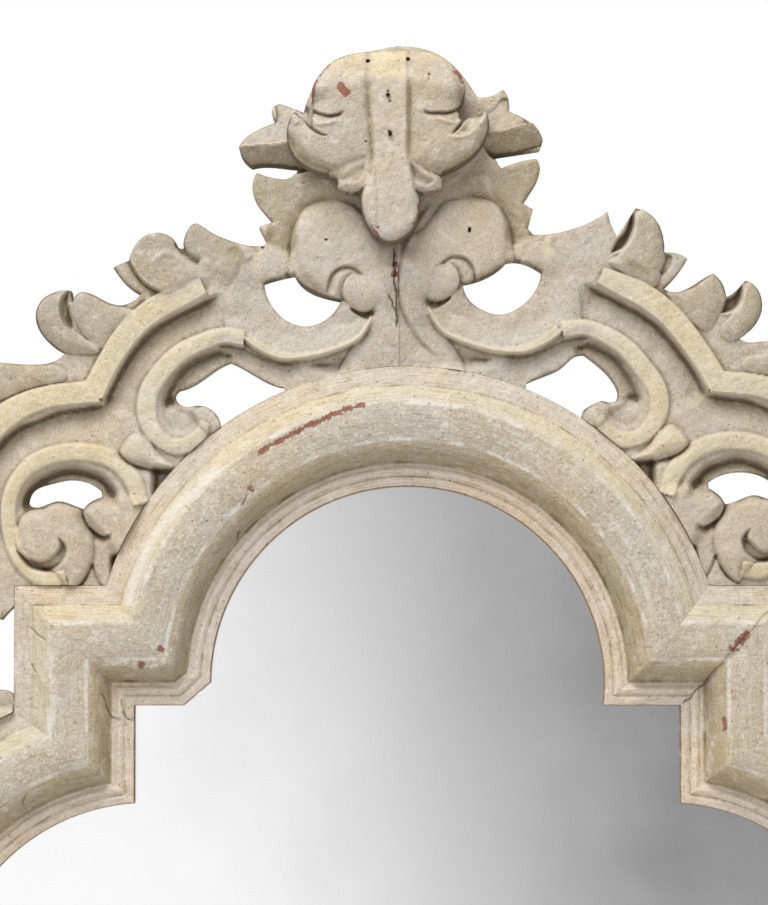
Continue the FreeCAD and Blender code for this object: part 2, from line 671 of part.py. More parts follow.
lobe_labels = {"top": "arch_rail_top", "bottom": "arch_rail_bottom",
               "left": "lobe_rail_left", "right": "lobe_rail_right"}
straight_labels = {("top", 1): "shelf_rail_top_right", ("top", -1): "shelf_rail_top_left",
                   ("bottom", 1): "shelf_rail_bottom_left", ("bottom", -1): "shelf_rail_bottom_right",
                   ("left", 1): "step_rail_left_top", ("left", -1): "step_rail_left_bottom",
                   ("right", 1): "step_rail_right_bottom", ("right", -1): "step_rail_right_top"}
key_solids = []
for side in sides:
    lobe_rail(side, lobe_labels[side.name])
    for sign in (1, -1):
        straight_rail(side, sign, straight_labels[(side.name, sign)])
    for spot, along in (side.meet_key(1), side.meet_key(-1), side.corner_key(1)):
        spots = [Vector(x, 0, z) for x, z in (side.world(*corner) for corner in key_outline(spot, along, 0))]
        flat = Part.Face(Part.makePolygon([Vector(v.x, v.z, 0) for v in spots + spots[:1]]))
        key_solids.append(flat.extrude(Vector(0, 0, size("key_depth"))))
stand(Part.makeCompound(key_solids), "mitre_keys")


def quatrefoil(label, grow_cells, thickness_cells, start_cells):
    """Box and four discs fused to the mirror's outline, grown evenly."""
    parts = []
    box = doc.addObject("Part::Box", label + "_box")
    box.setExpression("Length", "2 * (%s + %s)" % (half_width_cells, grow_cells))
    box.setExpression("Width", "2 * (%s + %s)" % (half_height_cells, grow_cells))
    box.setExpression("Height", thickness_cells)
    box.setExpression("Placement.Base.x", "-(%s + %s)" % (half_width_cells, grow_cells))
    box.setExpression("Placement.Base.y", "-(%s + %s)" % (half_height_cells, grow_cells))
    box.setExpression("Placement.Base.z", start_cells)
    parts.append(box)
    for side in sides:
        disc = doc.addObject("Part::Cylinder", label + "_" + side.name)
        disc.setExpression("Radius", "Sizes.%s + %s" % (side.radius, grow_cells))
        disc.setExpression("Height", thickness_cells)
        x, z = side.world(0, 1)
        disc.setExpression("Placement.Base.x", "%d * %s" % (round(x), cell(side.reach)))
        disc.setExpression("Placement.Base.y", "%d * %s" % (round(z), cell(side.reach)))
        disc.setExpression("Placement.Base.z", start_cells)
        parts.append(disc)
    joined = doc.addObject("Part::MultiFuse", label)
    joined.Shapes = parts
    joined.Refine = True
    return joined


in_rebate = "Sizes.rebate_width - Sizes.rebate_play"
plate = quatrefoil("mirror_plate", in_rebate, "Sizes.glass_thickness", "Sizes.backboard_thickness")
plate.Placement = Placement(Vector(0, -standoff, 0), upright)
plate.setExpression("Placement.Base.y", "-Sizes.standoff")
finish(plate, "mirror_plate")
board = quatrefoil("backboard", in_rebate, "Sizes.backboard_thickness", "0 * Sizes.backboard_thickness")
board.Placement = Placement(Vector(0, -standoff, 0), upright)
board.setExpression("Placement.Base.y", "-Sizes.standoff")
finish(board, "backboard")
frame_cells = "%s + Sizes.glue_gap" % cell_sum(*profile_widths)
frame_stamp = quatrefoil("frame_stamp", frame_cells, "4 * Sizes.shoulder_height", "-Sizes.shoulder_height")
doc.recompute()


def on_arch(point):
    """Photo point carried to the frame: same bearing from the arch, same rise above its edge."""
    dx = point[0] - arch_px[0]
    dy = arch_px[1] - point[1]
    bearing = math.atan2(dx, dy)
    radius = arch_outer + (math.hypot(dx, dy) - arch_outer_px) * scale
    return Vector(radius * math.sin(bearing), size("arch_rise") + radius * math.cos(bearing), 0)


def under_arch(point):
    spot = on_arch(point)
    return Vector(spot.x, -spot.y, 0)


def on_left_lobe(point):
    dx = point[0] - lobe_px[0]
    dy = lobe_px[1] - point[1]
    bearing = math.atan2(dy, -dx)
    radius = lobe_outer + (math.hypot(dx, dy) - lobe_outer_px) * scale
    return Vector(-size("lobe_reach") - radius * math.cos(bearing), radius * math.sin(bearing), 0)


def on_right_lobe(point):
    spot = on_left_lobe(point)
    return Vector(-spot.x, spot.y, 0)


def to_right(point):
    """Twin of a left-hand point on the right half of the crest."""
    x = twin_sum_px - point[0]
    y = point[1] - twin_drop_px
    total, across, down = 0, 0, 0
    for left, right in twin_px:
        apart = math.hypot(point[0] - left[0], point[1] - left[1])
        weight = 1 / (apart * apart + twin_reach_px * twin_reach_px)
        total += weight
        across += weight * (right[0] + left[0] - twin_sum_px)
        down += weight * (right[1] - left[1] + twin_drop_px)
    return (x + across / total, y + down / total)


def outline_wire(stretches, place):
    edges = []
    for stretch in stretches:
        spots = [place(point) for point in stretch]
        if len(spots) == 2:
            edges.append(Part.makeLine(*spots))
        else:
            curve = Part.BSplineCurve()
            curve.interpolate(spots)
            edges.append(curve.toShape())
    return Part.Wire(Part.__sortEdges__(edges))


def prism(stretches, place, start, height):
    solid = Part.Face(outline_wire(stretches, place)).extrude(Vector(0, 0, height))
    solid.translate(Vector(0, 0, start))
    return solid


def turned_left(spots, count, closed):
    """Direction across a row of points at one of them."""
    if closed:
        run = spots[(count + 1) % len(spots)] - spots[count - 1]
    else:
        run = spots[min(count + 1, len(spots) - 1)] - spots[max(count - 1, 0)]
    return Vector(-run.y, run.x, 0).normalize()


def mound(points, place, start, rise, edge):
    """Rounded mound standing on a closed smooth outline."""
    spots = [place(point) for point in points]
    area = sum(spots[n - 1].x * spots[n].y - spots[n].x * spots[n - 1].y for n in range(len(spots)))
    inward = 1 if area > 0 else -1
    wires = []
    for rise_share, edge_share in round_shares:
        ring = []
        for count, spot in enumerate(spots):
            moved = spot + turned_left(spots, count, True) * (inward * edge * edge_share)
            ring.append(Vector(moved.x, moved.y, start + rise * rise_share))
        curve = Part.BSplineCurve()
        curve.interpolate(Points=ring, PeriodicFlag=True)
        wires.append(Part.Wire(curve.toShape()))
    return Part.makeLoft(wires, True, True)


def band(points, place, start, rise, edge, shares):
    """Raised band or hollow along a line of points with half-widths."""
    spots = [place(point[:2]) for point in points]
    halves = [point[2] * scale for point in points]
    wires = []
    for rise_share, edge_share in shares:
        level = start + rise * rise_share
        left, right = [], []
        for count, spot in enumerate(spots):
            across = turned_left(spots, count, False) * (halves[count] - edge * edge_share)
            left.append(Vector(spot.x + across.x, spot.y + across.y, level))
            right.append(Vector(spot.x - across.x, spot.y - across.y, level))
        edges = []
        for row in (left, right[::-1]):
            curve = Part.BSplineCurve()
            curve.interpolate(row)
            edges.append(curve.toShape())
        edges.insert(1, Part.makeLine(left[-1], right[-1]))
        edges.append(Part.makeLine(right[0], left[0]))
        wires.append(Part.Wire(edges))
    return Part.makeLoft(wires, True, True)


def moved(forms, change):
    """The same forms with every point carried over by a function."""
    if not change:
        return forms
    carried = []
    for share, points in forms:
        carried.append((share, tuple(change(point[:2]) + tuple(point[2:]) for point in points)))
    return carried


def carved_board(stretches, holes, mounds, bands, hollows, place, change):
    """Sawn outline, pierced, raised and hollowed, fitted round the frame."""
    tall = ground + size("relief_rise") * 2
    blank = prism(stretches, place, 0, tall)
    blank = blank.cut([prism(hole, place, -overrun, tall + 2 * overrun) for hole in holes])
    blank = blank.cut(frame_stamp.Shape)
    box = blank.BoundBox
    slab = Part.makeBox(box.XLength + 2 * overrun, box.YLength + 2 * overrun, ground,
                        Vector(box.XMin - overrun, box.YMin - overrun, 0))
    root = size("relief_root")
    raised = []
    for share, points in moved(mounds, change):
        rise = size("relief_rise") * share + root
        raised.append(mound(points, place, ground - root, rise, size("mound_edge")))
    for share, points in moved(bands, change):
        rise = size("relief_rise") * share + root
        raised.append(band(points, place, ground - root, rise, size("band_edge"), band_round_shares))
    solid = slab.fuse(raised).common(blank)
    sink = size("relief_sink")
    cutters = []
    for share, points in moved([(1, line) for line in hollows], change):
        edge = min(point[2] for point in points) * scale
        cutters.append(band(points, place, ground - sink, sink + size("relief_rise") * 0.02, edge, hollow_shares))
    if cutters:
        reach = solid.Volume
        cut = solid.cut(cutters)
        if cut.Volume < reach:
            solid = cut
    solids = sorted(solid.Solids, key=lambda piece: piece.Volume)
    return solids[-1]


def crest_half(head, wing, joint, foot, holes, change, label):
    stretches = head + wing + joint + foot
    solid = carved_board(stretches, holes, crest_mounds_px, crest_bands_px, crest_hollows_px, on_arch, change)
    solid = solid.cut(block_seat)
    stand(sorted(solid.Solids, key=lambda piece: piece.Volume)[-1], label)


block_seat = prism(block_px, on_arch, ground, size("block_thickness") * 2)
crest_half(head_left_px, wing_left_px, joint_left_px, foot_left_px,
           (crest_hole_left_px, arch_hole_left_px), None, "crest_left")
crest_half(head_right_px, wing_right_px, joint_right_px, foot_right_px,
           (crest_hole_right_px, arch_hole_right_px), to_right, "crest_right")

apron_mounds_px = crest_mounds_px[:4]
stand(carved_board(apron_top_left_px + wing_left_px + joint_left_px + apron_foot_left_px,
                   (crest_hole_left_px, arch_hole_left_px), apron_mounds_px, crest_bands_px,
                   crest_hollows_px, under_arch, None), "apron_left")
stand(carved_board(apron_top_right_px + wing_right_px + joint_right_px + apron_foot_right_px,
                   (crest_hole_right_px, arch_hole_right_px), apron_mounds_px, crest_bands_px,
                   crest_hollows_px, under_arch, to_right), "apron_right")


def turned_round(stretches):
    return tuple(tuple(stretch[::-1]) for stretch in stretches[::-1])


for word, place in (("top", on_arch), ("bottom", under_arch)):
    stand(carved_board(turned_round(joint_left_px) + shoulder_left_px, (eye_hole_left_px,),
                       shoulder_mounds_px, shoulder_bands_px, shoulder_hollows_px, place, None),
          "shoulder_scroll_%s_left" % word)
    stand(carved_board(turned_round(joint_right_px) + shoulder_right_px, (eye_hole_right_px,),
                       shoulder_mounds_px, shoulder_bands_px, shoulder_hollows_px, place, to_right),
          "shoulder_scroll_%s_right" % word)


def below(point):
    return (point[0], 2 * lobe_px[1] - point[1]) + tuple(point[2:])


flank_low_px = tuple(tuple(below(point) for point in stretch) for stretch in turned_round(flank_left_px))
flank_line = flank_bands_px[0][1]
flank_band = (flank_bands_px[0][0], flank_line + tuple(below(point) for point in flank_line[-2::-1]))
for word, place in (("left", on_left_lobe), ("right", on_right_lobe)):
    stand(carved_board(flank_left_px + flank_low_px + flank_foot_left_px, (), (), (flank_band,), (), place, None),
          "flank_scroll_" + word)

block_front = ground + size("block_thickness")
block = prism(block_px, on_arch, ground, size("block_thickness"))
root = size("relief_root")
block_forms = []
for share, points in block_mounds_px:
    block_forms.append(mound(points, on_arch, block_front - root, size("block_rise") * share + root,
                             size("mound_edge")))
for share, points in block_bands_px:
    block_forms.append(band(points, on_arch, block_front - root, size("block_rise") * share + root,
                            size("band_edge"), band_round_shares))
block = block.fuse(block_forms).common(prism(block_px, on_arch, ground, size("block_thickness") * 2))
stand(sorted(block.Solids, key=lambda piece: piece.Volume)[-1], "cartouche")


def pin(spot, head_radius, head_thickness, shank_radius, length, start, way):
    """Head and shank along the depth of the frame, the shank going the given way."""
    head = Part.makeCylinder(head_radius, head_thickness, Vector(spot.x, spot.y, start),
                             Vector(0, 0, -way))
    shank = Part.makeCylinder(shank_radius, length, Vector(spot.x, spot.y, start), Vector(0, 0, way))
    return head.fuse(shank)


def nail(point):
    spot = on_arch(point)
    probe = Part.makeLine(spot, spot + Vector(0, 0, block_front * 2)).common(block)
    front = probe.BoundBox.ZMax
    return pin(spot, size("nail_head_radius"), size("nail_head_thickness"), size("nail_shank_radius"),
               size("nail_length"), front, -1)


stand(Part.makeCompound([nail(point) for point in nail_px]), "cartouche_nails")

# Strips behind the joints of crest and apron.
screw_length = size("screw_bite") + size("batten_thickness")


def strip(length, way, count, label):
    start = size("arch_rise") + size("arch_radius") + size("batten_start")
    middle = -size("batten_offset")
    low = start if way > 0 else -start - length
    solid = Part.makeBox(size("batten_width"), length, size("batten_thickness"),
                         Vector(middle - size("batten_width") / 2, low, -size("batten_thickness")))
    screws = []
    for number, share in enumerate(batten_screw_shares):
        side = 1 if number % 2 else -1
        spot = Vector(middle + side * size("screw_inset"), way * (start + length * share), 0)
        hole = Part.makeCylinder(size("screw_radius") + size("screw_play"), size("batten_thickness"),
                                 Vector(spot.x, spot.y, -size("batten_thickness")))
        solid = solid.cut(hole)
        screws.append(pin(spot, size("screw_head_radius"), size("screw_head_thickness"), size("screw_radius"),
                          screw_length, -size("batten_thickness"), 1))
    stand(solid, label)
    return screws


batten_screws = strip(size("crest_batten_length"), 1, 4, "crest_batten")
batten_screws += strip(size("apron_batten_length"), -1, 3, "apron_batten")
stand(Part.makeCompound(batten_screws), "batten_screws")

# Turn buttons that hold the backboard in.
button_screws = []
number = 0
for side in sides:
    for sign in (1, -1):
        number += 1
        angle = math.radians(size("button_angle")) * sign
        radius = size(side.radius) + size("rebate_width") + size("button_pivot")
        across = radius * math.sin(angle)
        level = size(side.reach) + radius * math.cos(angle)
        x, z = side.world(across, level)
        half = size("button_width") / 2
        reach = size("button_length") - size("button_width")
        outline = Part.Wire([
            Part.Arc(Vector(half, 0, 0), Vector(0, half, 0), Vector(-half, 0, 0)).toShape(),
            Part.makeLine(Vector(-half, 0, 0), Vector(-half, -reach, 0)),
            Part.Arc(Vector(-half, -reach, 0), Vector(0, -reach - half, 0), Vector(half, -reach, 0)).toShape(),
            Part.makeLine(Vector(half, -reach, 0), Vector(half, 0, 0))])
        plate_solid = Part.Face(outline).extrude(Vector(0, 0, -size("button_thickness")))
        bore = Part.makeCylinder(size("screw_radius") + size("pivot_play"), size("button_thickness") * 2,
                                 Vector(0, 0, 0), Vector(0, 0, -1))
        plate_solid = plate_solid.cut(bore)
        plate_solid.rotate(Vector(0, 0, 0), Vector(0, 0, 1), side.turn - math.degrees(angle))
        plate_solid.translate(Vector(x, z, -size("lift")))
        stand(plate_solid, "turn_button_%d" % number)
        start = -size("button_thickness") - 2 * size("lift")
        button_screws.append(pin(Vector(x, z, 0), size("screw_head_radius"), size("screw_head_thickness"),
                                 size("screw_radius"), size("screw_bite") - start, start, 1))
stand(Part.makeCompound(button_screws), "turn_button_screws")

# Hanger straps, their rings and screws on the side lobes.
bar_lift = size("ring_wire_radius") + size("pivot_play") + size("barrel_wall")
barrel_radius = bar_lift
hanger_screws = []
for word, way in (("left", -1), ("right", 1)):
    angle = math.radians(size("hanger_angle"))
    radius = size("lobe_radius") + rail_width / 2
    x = way * (size("lobe_reach") + radius * math.cos(angle))
    z = radius * math.sin(angle)
    width = size("strap_width")
    plate_solid = Part.makeBox(width, size("strap_length"), size("strap_thickness"),
                               Vector(x - width / 2, z - size("strap_length"), -size("strap_thickness")))
    barrel = Part.makeCylinder(barrel_radius, width, Vector(x - width / 2, z, -bar_lift), Vector(1, 0, 0))
    strap = plate_solid.fuse(barrel)
    bore = Part.makeCylinder(size("ring_wire_radius") + size("pivot_play"), width * 2,
                             Vector(x - width, z, -bar_lift), Vector(1, 0, 0))
    strap = strap.cut(bore)
    for drop in ("strap_screw_first", "strap_screw_second"):
        spot = Vector(x, z - size(drop), 0)
        hole = Part.makeCylinder(size("screw_radius") + size("screw_play"), size("strap_thickness") * 2,
                                 Vector(spot.x, spot.y, 0), Vector(0, 0, -1))
        strap = strap.cut(hole)
        hanger_screws.append(pin(spot, size("screw_head_radius"), size("screw_head_thickness"),
                                 size("screw_radius"), size("screw_bite"), -size("strap_thickness"), 1))
    stand(strap.removeSplitter(), "hanger_strap_" + word)
    half = size("ring_half_width")
    leg = size("ring_leg")
    wire = size("ring_wire_radius")
    bar = Part.makeCylinder(wire, 2 * half, Vector(x - half, z, -bar_lift), Vector(1, 0, 0))
    limbs = []
    for hand in (-1, 1):
        foot = Vector(x + hand * half, z, -bar_lift)
        limbs.append(Part.makeSphere(wire, foot))
        limbs.append(Part.makeCylinder(wire, leg, foot, Vector(0, -1, 0)))
    bow = Part.makeTorus(half, wire, Vector(x, z - leg, -bar_lift), Vector(0, 0, 1))
    below_bow = Part.makeBox(4 * half, 2 * half, 4 * wire, Vector(x - 2 * half, z - leg - 2 * half,
                                                                  -bar_lift - 2 * wire))
    ring = bar.fuse(limbs + [bow.common(below_bow)])
    stand(ring.removeSplitter(), "hanger_ring_" + word)
stand(Part.makeCompound(hanger_screws), "hanger_screws")

# Bumpers that keep the frame off the wall.
bumpers = []
for way in (-1, 1):
    angle = math.radians(size("bumper_angle"))
    radius = size("arch_radius") + rail_width / 2
    bumpers.append(Vector(way * radius * math.sin(angle), size("arch_rise") + radius * math.cos(angle), 0))
    angle = math.radians(size("hanger_angle"))
    radius = size("lobe_radius") + rail_width / 2
    bumpers.append(Vector(way * (size("lobe_reach") + radius * math.cos(angle)), -radius * math.sin(angle), 0))
stand(Part.makeCompound([Part.makeCylinder(size("bumper_radius"), standoff, spot, Vector(0, 0, -1))
                         for spot in bumpers]), "wall_bumpers")

doc.recompute()
for piece in doc.Objects:
    if "Invalid" in piece.State or "Error" in piece.State:
        raise RuntimeError("%s did not build" % piece.Name)
os.makedirs("parts", exist_ok=True)
for piece in exported:
    if piece.Shape.isNull() or not piece.Shape.isValid():
        raise RuntimeError("%s is not a valid solid" % piece.Label)
    piece.Shape.exportStep("parts/%s.step" % piece.Label)
    print(piece.Label, len(piece.Shape.Solids), "solids", round(piece.Shape.Volume))
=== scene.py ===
import bpy
import bmesh
import json
import math
import numpy as np
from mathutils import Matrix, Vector


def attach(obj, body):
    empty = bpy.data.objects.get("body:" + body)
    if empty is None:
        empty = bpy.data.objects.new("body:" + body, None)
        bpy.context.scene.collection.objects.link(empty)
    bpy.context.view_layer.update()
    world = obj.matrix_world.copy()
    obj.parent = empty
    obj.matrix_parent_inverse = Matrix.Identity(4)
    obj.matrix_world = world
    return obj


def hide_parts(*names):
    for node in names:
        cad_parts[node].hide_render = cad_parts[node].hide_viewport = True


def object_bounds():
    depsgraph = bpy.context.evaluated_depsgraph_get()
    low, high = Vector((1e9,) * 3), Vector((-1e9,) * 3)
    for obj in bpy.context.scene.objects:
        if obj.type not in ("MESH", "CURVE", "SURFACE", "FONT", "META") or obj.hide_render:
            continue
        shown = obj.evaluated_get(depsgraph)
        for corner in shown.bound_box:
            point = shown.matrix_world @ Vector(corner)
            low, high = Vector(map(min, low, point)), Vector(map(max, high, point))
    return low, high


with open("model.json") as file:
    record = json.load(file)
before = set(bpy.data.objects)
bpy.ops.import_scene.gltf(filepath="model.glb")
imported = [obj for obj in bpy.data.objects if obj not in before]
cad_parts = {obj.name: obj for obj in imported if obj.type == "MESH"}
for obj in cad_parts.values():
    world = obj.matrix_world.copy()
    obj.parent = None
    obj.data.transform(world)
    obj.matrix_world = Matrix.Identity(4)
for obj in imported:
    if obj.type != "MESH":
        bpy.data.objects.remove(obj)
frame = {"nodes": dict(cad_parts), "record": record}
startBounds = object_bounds()
nodes = frame["nodes"]
print("stage: frame loaded")

# photo pixels to metres on the mirror
photo = {"scale": 0.0008, "middleU": 407.5, "middleV": 1008, "mirrorU": 815}
wall = {"backY": -0.010, "facing": 0.7}
detail = 1.0
tiny = 1e-12  # keeps a sum of squares off zero


def smoothStep(value):
    value = np.clip(value, 0, 1)
    return value * value * (3 - 2 * value)


def roundStep(value):
    value = 1 - np.clip(value, 0, 1)
    return np.sqrt(1 - value * value)


def waves(u, v, seed, size, count=9):
    # slow unevenness of handwork, between about -1 and 1
    rng = np.random.default_rng(seed)
    turns, phases = (rng.uniform(0, math.tau, count) for _ in range(2))
    total = np.zeros(np.shape(u))
    for turn, phase, fine in zip(turns, phases, rng.uniform(0.5, 1.6, count)):
        total += np.sin((u * math.cos(turn) + v * math.sin(turn)) * fine * math.tau / size + phase)
    return total * 2 / count


def curve(points, closed=False, steps=5):
    # a smooth line through the points
    pts = np.array(points, float)
    if closed:
        ring = np.vstack([pts[-1:], pts, pts[:2]])
    else:
        ring = np.vstack([2 * pts[:1] - pts[1:2], pts, 2 * pts[-1:] - pts[-2:-1]])
    t = np.linspace(0, 1, steps, endpoint=False)[:, None]
    rows = []
    for a, b, c, d in zip(ring[:-3], ring[1:-2], ring[2:-1], ring[3:]):
        square, cube = 2 * a - 5 * b + 4 * c - d, 3 * b - a - 3 * c + d
        rows.append(0.5 * (2 * b + (c - a) * t + square * t ** 2 + cube * t ** 3))
    rows.append(ring[1:2] if closed else pts[-1:])
    return np.vstack(rows)


def trace(line, u, v):
    # nearest spot of a line: distance, place along it, side (+1 is the right hand)
    near, side, place = np.full(u.shape, np.inf), np.zeros(u.shape), np.zeros(u.shape)
    for k in range(len(line) - 1):
        ax, ay = line[k][:2]
        dx, dy = line[k + 1][:2] - line[k][:2]
        t = np.clip(((u - ax) * dx + (v - ay) * dy) / (dx * dx + dy * dy + tiny), 0, 1)
        du, dv = u - ax - t * dx, v - ay - t * dy
        away = du * du + dv * dv
        closer = away < near
        near[closer] = away[closer]
        side[closer] = np.sign(dx * dv - dy * du)[closer]
        place[closer] = k + t[closer]
    return np.sqrt(near), side, place


def within(line, u, v):
    inside = np.zeros(u.shape, bool)
    for (ax, ay), (bx, by) in zip(line[:-1, :2], line[1:, :2]):
        if ay != by:
            inside ^= ((ay > v) != (by > v)) & (u < (bx - ax) * (v - ay) / (by - ay) + ax)
    return inside


# how strokes end and wander: shares of their length, sizes in photo pixels
tool = {"fade": 0.1, "toneEdge": 5, "cutFade": 0.16, "cutEase": 1.6, "holeEdge": 1.2, "chipFade": 0.05,
        "chipLeast": 0.75, "chipSway": 0.45, "chipSeed": 7, "chipSize": 9, "chipEdge": 5, "crackFade": 0.06,
        "crackSway": 1.1, "crackSeed": 5, "crackSize": 13, "crackDark": 0.6}


class Relief:
    # carved surface over photo pixels, heights in millimetres from the frame's back
    def __init__(self, u, v, ground):
        self.shape = u.shape
        self.u, self.v = u.ravel(), v.ravel()
        self.h = np.full(self.u.shape, float(ground))
        self.cut, self.tone, self.pit, self.chip, self.wear = (np.zeros(self.u.shape) for _ in range(5))

    def sheet(self, name):
        return getattr(self, name).reshape(self.shape)

    def near(self, line, reach):
        low, high = line[:, :2].min(0) - reach, line[:, :2].max(0) + reach
        inU, inV = (self.u > low[0]) & (self.u < high[0]), (self.v > low[1]) & (self.v < high[1])
        return np.nonzero(inU & inV)[0]

    def inward(self, points, reach):
        line = curve(points, True)
        pick = self.near(line, reach)
        u, v = self.u[pick], self.v[pick]
        away = trace(line, u, v)[0]
        return pick, np.where(within(line, u, v), away, -away)

    def along(self, points, reach, share=tool["fade"]):
        # what lies near a line: points, distance, side, and a mask that fades at both ends
        line = curve(points)
        pick = self.near(line, reach)
        away, side, place = trace(line, self.u[pick], self.v[pick])
        run = place / (len(line) - 1)
        return pick, away, side, smoothStep(run / share) * smoothStep((1 - run) / share)

    def dome(self, numbers, tone, points):
        rise, edge = numbers
        pick, inner = self.inward(points, 0)
        self.h[pick] += rise * roundStep(inner / edge)
        self.tone[pick] += tone * smoothStep(inner / tool["toneEdge"])

    def scoop(self, numbers, tone, points):
        # a soft hollow, or a swelling where the depth is below zero
        depth, edge = numbers
        pick, inner = self.inward(points, 0)
        mask = smoothStep(inner / edge)
        self.h[pick] -= depth * mask
        self.tone[pick] += tone * mask

    def facet(self, numbers, tone, points):
        # a flat cut: height at the first point and slopes per pixel
        height, slopeU, slopeV, edge = numbers
        pick, inner = self.inward(points, edge)
        mask = smoothStep(inner / edge + 0.5)
        plane = height + slopeU * (self.u[pick] - points[0][0]) + slopeV * (self.v[pick] - points[0][1])
        self.h[pick] += (plane - self.h[pick]) * mask
        self.tone[pick] += tone * mask

    def undercut(self, numbers, tone, points):
        # sharp step down on one side, easing back over its reach
        depth, ramp, reach, side = numbers
        pick, away, hand, ends = self.along(points, reach, tool["cutFade"])
        back = (1 - np.clip((away - ramp) / (reach - ramp), 0, 1)) ** tool["cutEase"]
        mask = smoothStep(away / ramp) * back * (hand == side) * ends
        deepest = np.maximum(self.cut[pick], depth * mask)
        self.h[pick] -= deepest - self.cut[pick]
        self.cut[pick] = deepest
        self.tone[pick] += tone * mask

    def ridge(self, numbers, tone, points):
        rise, width = numbers
        pick, away, _, ends = self.along(points, width)
        mask = smoothStep(1 - away / width) * ends
        self.h[pick] += rise * mask
        self.tone[pick] += tone * mask

    def band(self, numbers, tone, points):
        # a rolled strip with its own half width at each point and square ends
        top, soft, crown = numbers
        line = curve(points)
        pick = self.near(line, max(p[2] for p in points) + soft)
        away, _, place = trace(line, self.u[pick], self.v[pick])
        width = np.interp(place, np.arange(len(line)), line[:, 2])
        beside = np.minimum(place, len(line) - 1 - place) > 1e-6
        mask = smoothStep((width - away) / soft + 0.5) * beside
        level = top - crown * np.clip(away / width, 0, 1) ** 2
        self.h[pick] += (np.maximum(level, self.h[pick]) - self.h[pick]) * mask
        self.tone[pick] += tone * mask

    def hole(self, numbers, tone, points):
        depth, size = numbers
        for spotU, spotV in points:
            away = np.hypot(self.u - spotU, self.v - spotV)
            mask = smoothStep((size - away) / tool["holeEdge"] + 0.5)
            self.h -= depth * mask
            # the inside of the hole is marked for a dark colour: painted shade
            self.pit = np.maximum(self.pit, mask)

    def chipped(self, numbers, tone, points):
        depth, width = numbers
        pick, away, _, ends = self.along(points, width * 1.5, tool["chipFade"])
        sway = waves(self.u[pick], self.v[pick], tool["chipSeed"], tool["chipSize"])
        ragged = width * (tool["chipLeast"] + tool["chipSway"] * sway)
        mask = smoothStep((ragged - away) / tool["chipEdge"] + 0.5) * ends
        self.h[pick] -= depth * mask
        self.chip[pick] = np.maximum(self.chip[pick], mask)

    def crack(self, numbers, tone, points):
        depth, width = numbers
        pick, away, hand, ends = self.along(points, width * 3 + 2, tool["crackFade"])
        sway = waves(self.u[pick], self.v[pick], tool["crackSeed"], tool["crackSize"])
        away = np.abs(away * hand + tool["crackSway"] * sway)
        mask = smoothStep((width - away) / width + 0.5) * ends
        self.h[pick] -= depth * mask
        # the inside of the crack is marked for a dark colour: painted shade
        self.pit[pick] = np.maximum(self.pit[pick], tool["crackDark"] * mask)

    def scraped(self, numbers, tone, points):
        width, amount = numbers
        pick, away, _, ends = self.along(points, width)
        self.wear[pick] = np.maximum(self.wear[pick], amount * smoothStep(1 - away / width) * ends)

    def carve(self, strokes, change=None):
        for kind, numbers, tone, flat in strokes:
            points = np.reshape(flat, (-1, 3 if kind == "band" else 2)).tolist()
            if change:
                points = change(points)
            if change and kind == "undercut":  # its hand turns over too
                numbers = numbers[:3] + (-numbers[3],)
            if change and kind == "facet":
                numbers = (numbers[0], -numbers[1]) + numbers[2:]
            getattr(self, kind)(numbers, tone, points)


# the same spots on the left and the right half of the photo
twins = {"sum": 810, "drop": 9, "reach": 25, "spots": (((263, 281), (543, 270)), ((341, 299), (463, 282)),
    ((229, 361), (586, 353)), ((283, 386), (527, 382)), ((201, 284), (603, 273)), ((100, 400), (714, 389)),
    ((70, 443), (742, 429)), ((361, 288), (444, 280)), ((154, 232), (649, 211)), ((53, 291), (755, 283)),
    ((256, 170), (537, 156)), ((238, 144), (544, 138)), ((178, 389), (620, 391)), ((332, 199), (467, 202)),
    ((26, 504), (784, 494)), ((83, 509), (726, 504)), ((315, 358), (488, 358)), ((304, 325), (502, 313)),
    ((100, 513), (707, 500)), ((373, 312), (421, 298)), ((358, 338), (440, 335)), ((340, 290), (462, 276)))}


def toRight(points):
    # turns points of the left half over to the right, led by the nearest twins
    moved = []
    for u, v, *width in points:
        total, du, dv = 0, 0, 0
        for (lu, lv), (ru, rv) in twins["spots"]:
            weight = 1 / ((u - lu) ** 2 + (v - lv) ** 2 + twins["reach"] ** 2)
            total += weight
            du += weight * (ru - (twins["sum"] - lu))
            dv += weight * (rv - (lv - twins["drop"]))
        moved.append((twins["sum"] - u + du / total, v - twins["drop"] + dv / total, *width))
    return moved
